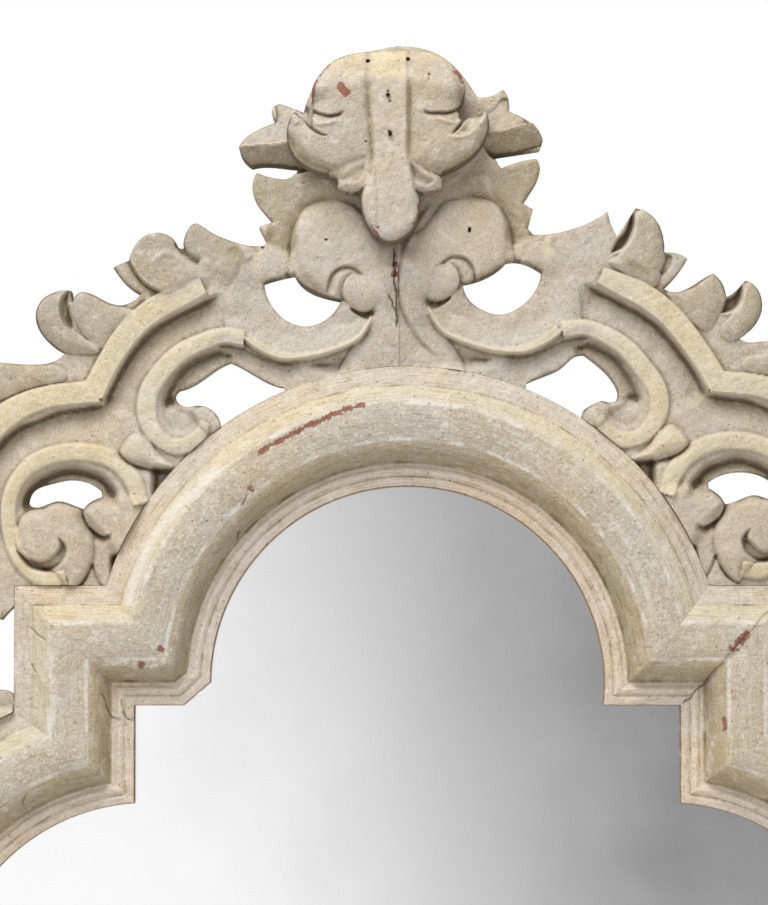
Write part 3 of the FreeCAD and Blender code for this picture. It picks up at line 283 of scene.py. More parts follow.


# carving of the left half: kind of stroke, its numbers, tone, points in photo pixels
# a band has its half width after each point
# a tone below zero is painted shade with some olive paint, above zero cream paint; strokes of depth zero only
# paint
leafStrokes = [
    ("scoop", (-3, 20), -0.9, (176, 250, 178, 220, 200, 208, 230, 225, 252, 238, 256, 265, 235, 290,
     205, 282)),
    ("ridge", (2.5, 10), 0.4, (240, 238, 248, 252, 254, 264, 262, 284)),
    ("ridge", (-1.2, 9), -0.3, (230, 246, 238, 258, 244, 274)),
    ("scoop", (-6, 24), -0.9, (108, 242, 150, 205, 178, 222, 188, 248, 206, 262, 214, 280, 190, 300, 160, 310,
     120, 292)),
    ("undercut", (5, 3, 16, 1), -0.4, (127, 246, 132, 263, 141, 277, 151, 285, 164, 291)),
    ("ridge", (-3, 6), -0.3, (175, 240, 182, 250, 190, 257, 200, 262)),
    ("ridge", (0.8, 5), 0.7, (150, 264, 159, 254, 171, 253, 186, 261)),
    ("dome", (5, 18), -1.1, (35, 314, 41, 299, 55, 290, 68, 289, 67, 303, 66, 316, 74, 330, 92, 343, 98, 352,
     75, 353, 58, 348, 43, 336)),
    ("dome", (4, 16), -0.7, (71, 302, 79, 291, 92, 293, 105, 301, 120, 305, 134, 312, 116, 331, 100, 349,
     86, 338, 75, 322)),
    ("scoop", (4.5, 5), -0.6, (66, 287, 58, 299, 57, 312, 62, 324, 71, 331, 73, 321, 69, 305, 70, 290)),
]
# leaves of the right half
rightLeafStrokes = [
    ("dome", (4.5, 16), -0.8, (636, 212, 648, 207, 658, 215, 664, 229, 666, 246, 664, 264, 656, 286, 634, 278,
     610, 262, 620, 253, 631, 240, 636, 227)),
    ("scoop", (6, 5), -1.3, (617, 237, 625, 227, 633, 210, 637, 214, 636, 227, 631, 240, 623, 249, 611, 252)),
    ("ridge", (2.0, 8), 0.6, (552, 232, 549, 244, 544, 258)),
    ("ridge", (1.2, 3), 0.5, (637, 213, 637, 226, 632, 239, 624, 249, 612, 253)),
    # painted shade below the leaf
    ("scoop", (0, 12), -1.0, (615, 254, 640, 256, 656, 268, 650, 280, 632, 272)),
    ("scoop", (2, 3), -1.0, (667, 252, 675, 254, 673, 265, 665, 275, 659, 271, 664, 262)),
    ("dome", (3, 14), -0.8, (668, 290, 690, 288, 704, 280, 714, 272, 722, 281, 726, 296, 721, 312, 708, 330,
     690, 320, 676, 304)),
    ("dome", (4, 14), -1.0, (746, 284, 754, 281, 762, 292, 764, 308, 757, 324, 744, 336, 728, 340, 722, 326,
     733, 314, 743, 303)),
    ("scoop", (6, 5), -1.3, (727, 296, 735, 291, 743, 281, 746, 289, 743, 302, 734, 311, 722, 313, 724, 303)),
    ("ridge", (1.2, 3), 0.5, (746, 286, 744, 301, 735, 311, 722, 314)),
]
crestStrokes = [
    ("facet", (27, 0.05, -0.05, 10), -1.0, (256, 170, 284, 176, 330, 176, 336, 200, 304, 208, 295, 226,
     292, 250, 266, 242, 270, 221, 253, 195)),
    ("facet", (33, 0.0, -0.1, 16), 0.0, (398, 262, 425, 250, 430, 372, 318, 366, 345, 352, 362, 336, 372, 318,
     370, 300, 380, 275)),
    ("dome", (5.5, 24), 0.0, (290, 282, 290, 250, 295, 226, 304, 209, 320, 201, 342, 200, 358, 207, 368, 222,
     384, 240, 424, 244, 424, 384, 340, 384, 352, 345, 366, 332, 374, 312, 362, 311, 338, 302, 310, 290)),
    # painted shade along the lower left of the bulb
    ("scoop", (0, 14), -1.3, (286, 235, 290, 262, 300, 282, 322, 296, 345, 303, 328, 284, 312, 268, 303, 246,
     302, 222)),
    ("undercut", (1.8, 2.5, 14, -1), -0.5, (296, 262, 291, 246, 295, 226, 304, 209, 320, 201, 346, 198)),
    ("undercut", (3.2, 2, 19, 1), -0.15, (324, 297, 326, 284, 330, 273, 338, 266, 349, 264, 359, 269,
     366, 276)),
    ("undercut", (3, 2, 12, 1), -0.1, (364, 271, 352, 275, 345, 284, 344, 294, 349, 303, 358, 309, 368, 309,
     377, 303)),
    ("scoop", (0.5, 4), -1.0, (348, 302, 357, 307, 366, 308, 376, 304, 374, 315, 368, 323, 358, 316,
     350, 309)),
    ("facet", (29.5, 0.0, 0.0, 3), 0.15, (232, 282, 262, 250, 300, 290, 345, 300, 352, 310, 362, 317,
     371, 320, 366, 328, 358, 338, 332, 350, 307, 356, 282, 358, 257, 348, 239, 335, 226, 331, 224, 305)),
    ("scoop", (3.5, 26), 0.0, (236, 270, 300, 270, 345, 298, 352, 307, 372, 312, 368, 322, 356, 337, 332, 349,
     307, 355, 282, 357, 258, 347, 240, 334, 230, 310)),
    ("ridge", (1.5, 4), 0.4, (374, 308, 371, 320, 358, 338, 332, 350, 307, 356, 282, 358, 257, 348, 239, 335,
     222, 331)),
    ("band", (30.5, 2.5, 0.4), 0.6, (372, 316, 2, 358, 337, 2.5, 332, 349, 3, 307, 355, 3.5, 282, 356, 4.5,
     262, 349, 6, 246, 339, 8)),
    ("undercut", (3, 3, 50, -1), -0.1, (372, 318, 358, 338, 332, 350, 307, 356, 282, 358, 262, 351)),
    ("undercut", (6.5, 3, 60, -1), -0.5, (312, 355, 282, 358, 257, 348, 239, 335, 222, 331, 206, 336)),
    ("band", (32.5, 2, 0.5), 0.7, (203, 285, 9, 181, 295, 11, 158, 306, 12, 137, 322, 12, 119, 344, 12,
     104, 370, 12, 92, 394, 12)),
    ("undercut", (7.5, 5, 56, -1), -0.6, (222, 288, 208, 294, 190, 303, 163, 317, 146, 329, 130, 347,
     117, 366, 108, 383, 101, 401, 96, 418)),
    ("band", (31, 3, 0.8), 0.75, (244, 338, 8, 222, 335, 8, 200, 342, 9, 178, 354, 10, 160, 372, 10,
     148, 392, 10, 146, 412, 10, 152, 430, 9, 165, 443, 8, 182, 446, 8, 198, 436, 7, 206, 422, 5)),
    # the slope under the rim is painted darker: painted shade
    ("undercut", (8, 10, 46, -1), -1.2, (246, 348, 226, 344, 216, 343, 187, 355, 168, 374, 158, 395,
     157, 414)),
    ("scoop", (2.5, 8), 0.0, (160, 400, 172, 392, 182, 404, 195, 411, 198, 422, 190, 432, 176, 436, 165, 430,
     158, 416)),
    ("dome", (2.5, 8), 0.2, (194, 410, 206, 405, 216, 412, 222, 425, 212, 433, 202, 429, 196, 420)),
]
shoulderStrokes = [
    ("dome", (3, 16), -0.7, (-36, 372, -22, 360, 2, 358, 30, 362, 60, 366, 64, 380, 30, 388, 0, 400, -18, 416,
     -30, 400)),
    ("dome", (3, 16), 0.0, (-64, 424, -50, 408, -34, 410, -24, 424, -44, 456, -52, 490, -66, 470)),
    ("band", (32.5, 2, 0.5), 0.75, (99, 391, 11, 75, 393, 11, 50, 396, 11, 25, 404, 12, 2, 418, 13,
     -22, 444, 13, -38, 476, 12, -44, 512, 12, -38, 548, 11, -20, 576, 9)),
    ("undercut", (7.5, 5, 50, -1), -0.6, (124, 400, 100, 401, 79, 404, 58, 407, 35, 416, 14, 425, -8, 446,
     -24, 478, -30, 512, -25, 546, -8, 572)),
    ("band", (31, 3, 0.8), 0.8, (141, 504, 8, 134, 484, 9, 122, 467, 9, 106, 457, 9, 85, 452, 9, 60, 453, 9,
     36, 461, 9, 18, 478, 8, 9, 498, 8, 8, 522, 8, 14, 548, 8, 28, 570, 8, 48, 580, 8, 66, 578, 7)),
    # the slope inside the rim is painted darker: painted shade
    ("undercut", (9, 10, 40, -1), -1.3, (125, 514, 122, 498, 117, 486, 106, 473, 92, 466, 72, 462, 54, 465,
     36, 474, 23, 487, 16, 504, 16, 522)),
    ("dome", (6, 20), 0.1, (16, 530, 23, 514, 40, 506, 57, 502, 75, 506, 86, 517, 92, 535, 93, 556, 86, 576,
     70, 592, 62, 580, 52, 571, 36, 567, 24, 558, 16, 546)),
    ("scoop", (5, 4), -0.7, (57, 537, 62, 539, 67, 545, 68, 552, 65, 561, 57, 569, 45, 573, 30, 570, 20, 560,
     15, 549, 20, 551, 28, 556, 39, 559, 48, 557, 56, 550, 59, 545)),
    ("scoop", (-4.5, 12), 0.1, (80, 512, 90, 498, 106, 490, 125, 490, 145, 500, 145, 530, 135, 554, 118, 562,
     106, 549, 97, 537, 88, 528)),
    ("undercut", (5, 2.5, 12, 1), -0.6, (82, 507, 88, 523, 95, 530, 103, 534, 112, 532)),
    ("scoop", (6, 7), -0.5, (124, 548, 119, 566, 112, 583, 107, 566, 110, 553)),
    ("ridge", (-2, 3), -0.3, (92, 562, 81, 584, 66, 593)),
    ("ridge", (-2, 3), -0.3, (90, 562, 97, 580, 106, 593)),
    ("scoop", (8, 8), -0.5, (152, 463, 175, 468, 168, 482, 152, 500, 148, 480)),
    ("dome", (4, 12), 0.6, (119, 452, 127, 438, 138, 432, 149, 440, 158, 454, 174, 466, 158, 469, 143, 463,
     130, 461)),
    ("undercut", (4, 2.5, 10, 1), -0.4, (116, 448, 130, 461, 143, 465, 164, 470)),
]
# marks of one half only, and the stem between them
leftStrokes = [
    ("facet", (29, 0.0, 0.1, 2), 0.0, (236, 146, 250, 129, 275, 117, 276, 97, 306, 103, 308, 125, 302, 139,
     270, 141)),
    # the lower facet of the wing is darker: paint and painted shade
    ("facet", (29, 0.0, -0.4, 2), -1.4, (236, 146, 270, 141, 304, 139, 308, 168, 250, 168)),
    ("hole", (3, 0.9), 0, (326, 239, 302, 109, 262, 246)),
    ("chipped", (0.5, 3.5), 0, (395, 260, 395, 268, 395, 277)),
    ("crack", (1.2, 0.8), 0, (394, 244, 395, 265, 394, 282, 397, 300, 397, 330)),
    ("crack", (1.0, 0.7), 0, (388, 292, 392, 300, 391, 306, 397, 310)),
]
stemStrokes = [
    ("undercut", (4, 5, 34, 1), -0.1, (440, 196, 420, 220, 409, 244, 404, 265, 402, 288, 406, 308, 415, 326,
     430, 344, 452, 362)),
]
rightStrokes = [
    ("facet", (29, 0.0, 0.1, 2), -0.4, (547, 126, 535, 119, 517, 102, 504, 95, 494, 106, 482, 116, 482, 134,
     505, 127, 524, 122)),
    # the lower facet of the wing is darker: paint and painted shade
    ("facet", (29, 0.0, -0.4, 2), -1.4, (482, 134, 505, 127, 524, 122, 540, 122, 548, 140, 520, 150,
     494, 156)),
    ("hole", (3, 1.3), 0, (470, 228, 470, 230)),
]
# the cartouche
blockStrokes = [
    ("dome", (12, 34), -0.4, (311, 100, 314, 84, 324, 70, 338, 60, 356, 54, 374, 52, 376, 166, 352, 171,
     334, 176, 316, 172, 299, 163, 289, 148, 285, 132, 287, 116, 297, 108)),
    ("dome", (12, 34), -0.6, (466, 100, 461, 78, 448, 64, 430, 55, 405, 52, 404, 166, 426, 173, 446, 178,
     465, 172, 480, 161, 489, 147, 492, 131, 491, 114, 481, 108)),
    ("scoop", (8, 4), -0.2, (299, 110, 305, 103, 311, 108, 315, 114, 312, 121, 314, 128, 321, 134, 331, 139,
     320, 139, 309, 132, 303, 121)),
    ("scoop", (8, 4), -0.2, (480, 108, 472, 101, 465, 104, 456, 111, 459, 118, 459, 124, 454, 131, 451, 138,
     459, 133, 466, 124, 474, 116)),
    ("undercut", (5, 2, 10, 1), -0.3, (298, 92, 304, 101, 310, 108, 318, 113, 328, 116, 337, 115, 345, 111)),
    ("undercut", (5, 2, 10, -1), -0.3, (468, 92, 464, 101, 456, 109, 447, 113, 437, 113, 429, 113, 422, 110)),
    ("ridge", (1.6, 4), 0.7, (313, 119, 317, 126, 327, 126, 338, 122)),
    ("ridge", (1.6, 4), 0.7, (458, 119, 457, 125, 447, 124, 436, 120)),
    ("scoop", (3, 6), 0.5, (458, 135, 463, 126, 470, 118, 478, 112, 487, 114, 486, 121, 479, 129, 471, 137,
     464, 138)),
    ("ridge", (1, 3), 0.6, (445, 139, 458, 140, 468, 138, 475, 130)),
    ("ridge", (2, 6), 0.6, (291, 111, 293, 118, 298, 127)),
    ("ridge", (2, 6), 0.6, (486, 111, 484, 118, 479, 127)),
    # darker towards the bottom of the cheeks: painted shade
    ("scoop", (3.5, 14), -1.9, (280, 128, 286, 152, 298, 167, 316, 176, 334, 180, 344, 168, 324, 161,
     306, 150, 296, 134)),
    ("scoop", (3.5, 14), -1.9, (497, 128, 492, 151, 480, 166, 464, 177, 446, 182, 432, 170, 452, 163,
     471, 151, 481, 135)),
    ("facet", (58, 0.03, -0.08, 3), 0.2, (329, 175, 345, 166, 366, 158, 370, 178, 360, 192, 346, 194,
     336, 190)),
    ("facet", (58, -0.03, -0.08, 3), 0.2, (444, 180, 424, 171, 408, 158, 405, 176, 413, 189, 428, 195,
     444, 192)),
    ("scoop", (2.5, 6), 0.1, (338, 178, 352, 170, 366, 164, 367, 177, 358, 186, 348, 186, 340, 184)),
    ("scoop", (3, 6), -0.4, (436, 182, 424, 175, 410, 164, 409, 176, 416, 186, 427, 190)),
    ("facet", (64, 0.0, 0.0, 6), 0.0, (371, 52, 388, 48, 407, 52, 408, 110, 409, 158, 414, 188, 420, 205,
     416, 226, 405, 238, 392, 244, 378, 240, 367, 227, 361, 208, 364, 190, 373, 165, 371, 110)),
    ("facet", (64, 0.0, 0.16, 16), 0.0, (388, 82, 300, 96, 300, 40, 470, 40, 470, 96)),
    ("scoop", (0, 12), 0.7, (300, 90, 300, 30, 480, 30, 480, 90, 388, 86)),
    ("ridge", (-1.4, 4.5), -0.1, (368, 46, 368, 100, 371, 140, 375, 168)),
    ("ridge", (-1.2, 3), -0.2, (375, 166, 377, 190, 378, 212, 376, 236)),
    ("ridge", (-1.4, 4.5), -0.1, (409, 46, 410, 110, 408, 165)),
    # painted shade on the outer sides of the lobes
    ("scoop", (0, 9), -1.1, (440, 58, 457, 68, 468, 85, 470, 102, 459, 109, 453, 95, 446, 77)),
    ("scoop", (0, 9), -0.9, (332, 60, 316, 72, 304, 90, 301, 105, 312, 111, 318, 96, 325, 77)),
    ("hole", (3, 1.7), 0, (368, 63, 408, 61)),
    ("chipped", (0.3, 1.2), 0, (371, 227, 376, 235, 384, 241)),
    ("chipped", (0.3, 1.0), 0, (418, 206, 418, 218, 412, 229)),
    ("hole", (2, 0.9), 0, (388, 94, 390, 104, 429, 77, 366, 144, 378, 230, 391, 135, 389, 134, 378, 239)),
    ("chipped", (0.6, 5), 0, (338, 86, 344, 93, 349, 99)),
    ("chipped", (0.6, 3), 0, (313, 100, 314, 86, 321, 72, 330, 64)),
    ("chipped", (0.5, 2.5), 0, (454, 72, 459, 78, 463, 86)),
]
flankStrokes = [
    ("band", (33, 6, 1.5), 0.5, (14, 716, 8, -22, 718, 9, -62, 738, 10, -100, 776, 10, -132, 824, 10,
     -156, 880, 9, -170, 944, 9, -174, 1012, 8)),
]
# chips, cracks and scrapes of the moulding
railStrokes = [
    ("chipped", (0.5, 3.2), 0, (256, 456, 268, 448, 285, 438, 305, 428, 325, 419, 345, 410, 368, 404)),
    ("chipped", (0.6, 5), 0, (729, 651, 738, 642, 748, 631)),
    ("chipped", (0.6, 4), 0, (139, 663, 142, 664, 145, 666)),
    ("chipped", (0.5, 3.5), 0, (158, 648, 161, 650, 164, 652)),
    ("chipped", (0.4, 2.5), 0, (248, 487, 252, 490, 255, 492)),
    ("chipped", (0.4, 2.0), 0, (722, 716, 724, 724, 723, 733)),
    ("crack", (1.2, 0.8), 0, (684, 705, 692, 695, 702, 686, 716, 668)),
    ("crack", (0.5, 0.4), 0, (712, 672, 730, 652, 748, 632, 770, 608)),
    ("crack", (0.8, 0.7), 0, (29, 627, 38, 634, 47, 641)),
    ("crack", (0.8, 0.7), 0, (31, 662, 34, 667, 37, 673)),
    ("crack", (0.8, 0.8), 0, (101, 692, 105, 698, 106, 708, 110, 716, 117, 720, 121, 717)),
    ("crack", (0.8, 0.8), 0, (121, 699, 123, 711, 127, 719, 135, 718)),
    ("crack", (0.6, 0.9), 0, (248, 494, 245, 500, 243, 506)),
    ("crack", (0.6, 0.9), 0, (240, 531, 238, 535, 237, 539)),
    ("crack", (0.6, 0.8), 0, (27, 795, 25, 800, 24, 805)),
    ("scraped", (17, 1.0), 0, (126, 620, 136, 575, 160, 527, 196, 488, 232, 462)),
    ("scraped", (12, 0.9), 0, (52, 640, 54, 690, 52, 735)),
    ("scraped", (10, 0.8), 0, (602, 505, 625, 540, 645, 590, 655, 640)),
    ("scraped", (10, 0.8), 0, (0, 765, 40, 745, 70, 740)),
    ("scraped", (10, 0.9), 0, (95, 662, 130, 663, 160, 664, 172, 640)),
    ("scraped", (10, 0.8), 0, (700, 810, 710, 760, 712, 730)),
]


def backOutline(name, level, tolerance=2e-5, perMetre=1e6):
    # edges of a node's flat back, as rows of two points in x and z
    mesh = nodes[name].data
    mesh.calc_loop_triangles()
    spots = np.array([v.co[:] for v in mesh.vertices])
    uses = {}
    for tri in mesh.loop_triangles:
        corners = [spots[i] for i in tri.vertices]
        if all(abs(c[1] - level) < tolerance for c in corners):
            keys = [(round(c[0] * perMetre), round(c[2] * perMetre)) for c in corners]
            for edge in map(frozenset, zip(keys, keys[1:] + keys[:1])):
                uses[edge] = uses.get(edge, 0) + 1
    edges = [tuple(key) for key, count in uses.items() if count == 1 and len(key) == 2]
    return np.array(edges, float) / perMetre


def outlineField(edges, xs, zs, reach):
    # signed distance to the outline (inside is positive) and the nearest spots
    inside = np.zeros((len(zs), len(xs)), bool)
    near = np.full(inside.shape, reach * reach)
    spotX, spotZ = np.meshgrid(xs, zs)
    gridX, gridZ = spotX.copy(), spotZ.copy()
    for (ax, az), (bx, bz) in edges:
        rows = np.nonzero((az > zs) != (bz > zs))[0]
        if len(rows):
            cross = ax + (zs[rows] - az) / (bz - az) * (bx - ax)
            inside[rows] ^= xs[None, :] < cross[:, None]
        i0, i1 = np.searchsorted(xs, (min(ax, bx) - reach, max(ax, bx) + reach))
        j0, j1 = np.searchsorted(zs, (min(az, bz) - reach, max(az, bz) + reach))
        block = (slice(j0, j1), slice(i0, i1))
        dx, dz = bx - ax, bz - az
        run = (gridX[block] - ax) * dx + (gridZ[block] - az) * dz
        t = np.clip(run / (dx * dx + dz * dz + tiny * tiny), 0, 1)
        px, pz = ax + t * dx, az + t * dz
        away = (gridX[block] - px) ** 2 + (gridZ[block] - pz) ** 2
        closer = away < near[block]
        near[block][closer] = away[closer]
        spotX[block][closer] = px[closer]
        spotZ[block][closer] = pz[closer]
    return np.where(inside, 1, -1) * np.sqrt(near), spotX, spotZ, gridX, gridZ


def blurred(field, mask, radius):
    # box blur, twice each way, that only counts what lies inside the outline
    def box(data):
        for axis in (0, 1, 0, 1):
            pad = [(0, 0), (0, 0)]
            pad[axis] = (radius + 1, radius)
            run = np.cumsum(np.pad(data, pad), axis=axis)
            size, reach = data.shape[axis], 2 * radius + 1
            data = run.take(range(reach, reach + size), axis) - run.take(range(0, size), axis)
        return data
    return box(field * mask) / np.maximum(box(mask.astype(float)), tiny)


rail = {"archRadius": 0.158, "archRise": 0.26003, "lobeRadius": 0.164, "lobeReach": 0.20797,
        "halfWidth": 0.21897, "halfHeight": 0.24203, "width": 0.096, "widthMm": 96}


def railDistance(x, z):
    # distance outward from the sight edge of the frame's opening, in metres
    lobe = np.minimum(np.hypot(x, np.abs(z) - rail["archRise"]) - rail["archRadius"],
                      np.hypot(np.abs(x) - rail["lobeReach"], z) - rail["lobeRadius"])
    straight = np.maximum(np.abs(x) - rail["halfWidth"], np.abs(z) - rail["halfHeight"])
    return np.minimum(lobe, straight)


def pixels(x, z):
    return photo["middleU"] + x / photo["scale"], photo["middleV"] - np.abs(z) / photo["scale"]


def pixelsOver(x, z):
    u, v = pixels(x, z)
    return photo["mirrorU"] - u, v


def addObject(name, data):
    obj = bpy.data.objects.new(name, data)
    bpy.context.scene.collection.objects.link(obj)
    return obj


def attributeGrid(gridX, height, gridZ, data):
    # a mesh over rows and columns of spots, and the row and column of each vertex
    rows, columns = (count - 1 for count in gridX.shape)
    bm = bmesh.new()
    bmesh.ops.create_grid(bm, x_segments=columns, y_segments=rows, size=0.5)
    layers = {label: bm.verts.layers.float.new(label) for label in data}
    place = {}
    for vert in bm.verts:
        j, i = round((vert.co.y + 0.5) * rows), round((vert.co.x + 0.5) * columns)
        place[vert] = (j, i)
        vert.co = (gridX[j, i], wall["backY"] - height[j, i] / 1000, gridZ[j, i])
        for label, layer in layers.items():
            vert[layer] = data[label][j, i]
    return bm, place


def dressNode(name, bm, slot, material, sharp):
    # the finished mesh takes the place of a CAD node, with bare wood behind
    mesh = bpy.data.meshes.new(name)
    bmesh.ops.recalc_face_normals(bm, faces=bm.faces)
    for face in bm.faces:
        face.material_index = int(face.normal.y > wall["facing"])
    bm.to_mesh(mesh)
    bm.free()
    mesh.shade_smooth()
    mesh.set_sharp_from_angle(angle=math.radians(sharp))
    mesh.materials.append(material)
    mesh.materials.append(rawBack[slot])
    obj = addObject(name, mesh)
    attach(obj, "frame")
    return obj


# carved boards: heights in millimetres, reaches in metres, edges in photo pixels
board = {"ground": 28, "back": wall["backY"], "deeper": 1.5, "drop": 3.0, "edge": 5, "joined": True}
block = {"ground": 53, "back": -0.034, "deeper": 1.1, "drop": 8, "edge": 13, "joined": False}
boardHand = {"waves": ((0.35, 34), (0.22, 12)), "reach": 0.016, "sharp": 38,
             "joint": {"square": 0.004, "ease": 0.006, "reach": 0.012}}
# dirt with painted shade goes where the surface lies below its blur and along the free edges, wear where it
# stands above: size and strength
boardAge = {"blurs": (0.0022, 0.005, 0.013), "dirtAndShade": ((1.1, 0.5), (3.2, 0.35), (9, 0.3)),
            "edges": ((2.2, 0.5), (11, 0.3)), "wear": ((0.9, 0.4), (2.5, 0.3))}


def freeEdges(name, look, xs, zs, gridX, gridZ):
    # free edges are rounded, joints and the foot on the moulding are not
    if not look["joined"]:
        return np.ones(gridX.shape)
    joint = boardHand["joint"]
    free = smoothStep((railDistance(gridX, gridZ) - rail["width"] - joint["square"]) / joint["ease"])
    for other in joints.get(name, ()):
        away = outlineField(backOutline(other, look["back"]), xs, zs, joint["reach"])[0]
        free = free * smoothStep((np.abs(away) - joint["square"]) / joint["ease"])
    return free


def carvedBoard(name, strokes, grid, seed, look=board, pixelOf=pixels):
    # a board with the CAD outline and a carved front
    edges = backOutline(name, look["back"])
    step = grid * detail
    low, high = edges.reshape(-1, 2).min(0) - step, edges.reshape(-1, 2).max(0) + step
    xs, zs = (low[k] + step * np.arange(math.ceil((high[k] - low[k]) / step) + 1) for k in (0, 1))
    inner, spotX, spotZ, gridX, gridZ = outlineField(edges, xs, zs, boardHand["reach"])
    u, v = pixelOf(gridX, gridZ)
    relief = Relief(u, v, look["ground"])
    for change, rows in strokes:
        relief.carve(rows, change)
    h = look["ground"] + (relief.sheet("h") - look["ground"]) * look["deeper"]
    free = freeEdges(name, look, xs, zs, gridX, gridZ)
    depth = inner / photo["scale"]
    over = [h - blurred(h, inner > 0, max(2, int(reach / step))) for reach in boardAge["blurs"]]
    # cavity: dirt together with painted shade in hollows and creases and along the free edges
    cavity = sum(np.clip(-rise / size, 0, 1) * much for rise, (size, much) in zip(over, boardAge["dirtAndShade"]))
    cavity = cavity + free * sum(much * (1 - smoothStep(depth / size)) for size, much in boardAge["edges"])
    wear = sum(np.clip(rise / size, 0, 1) * much for rise, (size, much) in zip(over, boardAge["wear"]))
    h = h - look["drop"] * free * (1 - roundStep(depth / look["edge"]))
    for k, (rise, size) in enumerate(boardHand["waves"]):
        h = h + rise * waves(u, v, seed + k, size)
    data = {label: relief.sheet(label) for label in ("tone", "pit", "chip")}
    data.update(cavity=cavity, wear=wear)
    bm, place = attributeGrid(gridX, h, gridZ, data)
    outside = [face for face in bm.faces if sum(inner[place[vert]] for vert in face.verts) <= 0]
    bmesh.ops.delete(bm, geom=outside, context="FACES")
    for _ in range(3):
        # corners that touch at one point only are taken away
        pinched = [v for v in bm.verts if sum(e.is_boundary for e in v.link_edges) > 2]
        if not pinched:
            break
        bmesh.ops.delete(bm, geom=list({f for v in pinched for f in v.link_faces[:1]}), context="FACES")
    for vert in bm.verts:
        if vert.is_boundary:
            vert.co.x, vert.co.z = spotX[place[vert]], spotZ[place[vert]]
    made = bmesh.ops.extrude_edge_only(bm, edges=[e for e in bm.edges if e.is_boundary])["geom"]
    feet = {g for g in made if isinstance(g, bmesh.types.BMVert)}
    for vert in feet:
        vert.co.y = look["back"]
    foot = [g for g in made if isinstance(g, bmesh.types.BMEdge) and feet.issuperset(g.verts)]
    bmesh.ops.triangle_fill(bm, edges=foot, use_beauty=True, normal=(0, 1, 0))
    obj = dressNode(name + "_carved", bm, "painted_carving", carvingPaint, boardHand["sharp"])
    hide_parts(name)
    print("stage:", name, len(obj.data.vertices))


class Wire:
    # a value in a node tree, so that sums of values read as sums
    def __init__(self, tree, socket):
        self.tree = tree
        self.socket = socket

    def combine(self, operation, other=0.0):
        made = node(self.tree, "ShaderNodeMath", {0: self, 1: other}, operation=operation)
        return Wire(self.tree, made.outputs[0])

    def __add__(self, other):
        return self.combine("ADD", other)

    def __sub__(self, other):
        return self.combine("SUBTRACT", other)

    def __mul__(self, other):
        return self.combine("MULTIPLY", other)


def feed(tree, made, inputs):
    for name, value in inputs.items():
        value = value.socket if isinstance(value, Wire) else value
        if isinstance(value, bpy.types.NodeSocket):
            tree.links.new(value, made.inputs[name])
        else:
            colour = made.inputs[name].type == "RGBA"
            made.inputs[name].default_value = (*value, 1) if colour else value
    return made


def node(tree, kind, inputs=None, **props):
    made = tree.nodes.new(kind)
    for name, value in props.items():
        setattr(made, name, value)
    return feed(tree, made, inputs or {})


def blend(tree, factor, first, second, kind="MIX"):
    # sockets 0, 6, 7 and output 2 are those of a mix of colours
    made = node(tree, "ShaderNodeMix", {0: factor, 6: first, 7: second}, data_type="RGBA", blend_type=kind)
    return made.outputs[2]


def ramp(value, low, high):
    made = node(value.tree, "ShaderNodeMapRange", {"Value": value, "From Min": low, "From Max": high},
                interpolation_type="SMOOTHSTEP")
    return Wire(value.tree, made.outputs["Result"])


def noise(tree, vector, scale, levels=4, rough=0.55):
    numbers = {"Vector": vector, "Scale": scale, "Detail": levels, "Roughness": rough}
    return Wire(tree, node(tree, "ShaderNodeTexNoise", numbers).outputs["Fac"])


def attribute(tree, name):
    return Wire(tree, node(tree, "ShaderNodeAttribute", attribute_name=name).outputs["Fac"])


def objectSpot(tree):
    return node(tree, "ShaderNodeTexCoord").outputs["Object"]


# old paint; a mask has the values where it starts and is full, then its strength and colour
paint = {
    "noise": {"broad": (11, 3), "patch": (34, 4, 0.6), "middle": (85, 5, 0.65), "fine": (260, 5, 0.7),
              "grit": (800, 3, 0.75)},
    "tint": (0.34, 0.66, (1.05, 1.0, 0.92), (0.97, 1.0, 1.03)),
    "stains": (("patch", 0.46, 0.68, 0.55, (0.95, 0.90, 0.80), "MULTIPLY"),
               ("middle", 0.50, 0.74, 0.6, (0.86, 0.81, 0.73), "MULTIPLY"),
               ("middle", 0.48, 0.28, 0.35, (0.84, 0.80, 0.72), "MIX"),
               ("fine", 0.50, 0.72, 0.6, (0.72, 0.66, 0.57), "MULTIPLY"),
               ("grit", 0.52, 0.72, 0.55, (0.58, 0.52, 0.44), "MULTIPLY"),
               ("grit", 0.46, 0.30, 0.45, (0.90, 0.87, 0.80), "MIX")),
    "uneven": (1.1, 1.3), "creaseUneven": 0.6,
    "pepperGrit": (0.58, 0.68), "pepperPatch": (0.42, 0.62), "pepper": (0.6, (0.27, 0.20, 0.12)),
    # hollow and crease are dark colours laid by the cavity: dirt with painted shade
    "hollow": (0.15, 1.0, 0.66, (0.33, 0.265, 0.165)), "crease": (0.72, 1.25, 0.7, (0.10, 0.072, 0.044)),
    "bareFrom": (0.36, 0.5, 0.42), "bare": (0.66, 0.76), "bareStrength": 0.75,
    "speckScale": 170.0, "speckSize": (0.16, 0.09), "speckPick": (0.74, 0.76),
    "speck": (0.6, (0.14, 0.095, 0.06)),
    "flake": (0.35, 0.65, (0.19, 0.075, 0.05), (0.36, 0.165, 0.115)),
    "chipFrom": 0.9, "broken": (2.6, 1.8), "brokenFrom": (0.0, 0.3), "chip": (0.44, 0.5),
    # the brown rim round each chip is a painted shadow; the pit colour is painted shade inside holes and
    # cracks
    "chipShadowRim": (0.32, 0.42, 0.6, (0.15, 0.10, 0.065)), "pit": (0.022, 0.015, 0.010),
    "height": {"fine": 1.1, "grit": 0.45, "middle": 2.6, "speck": 0.6, "bare": 0.2},
    "rough": (0.2, 0.68), "bump": 0.0022, "specular": 0.18,
}


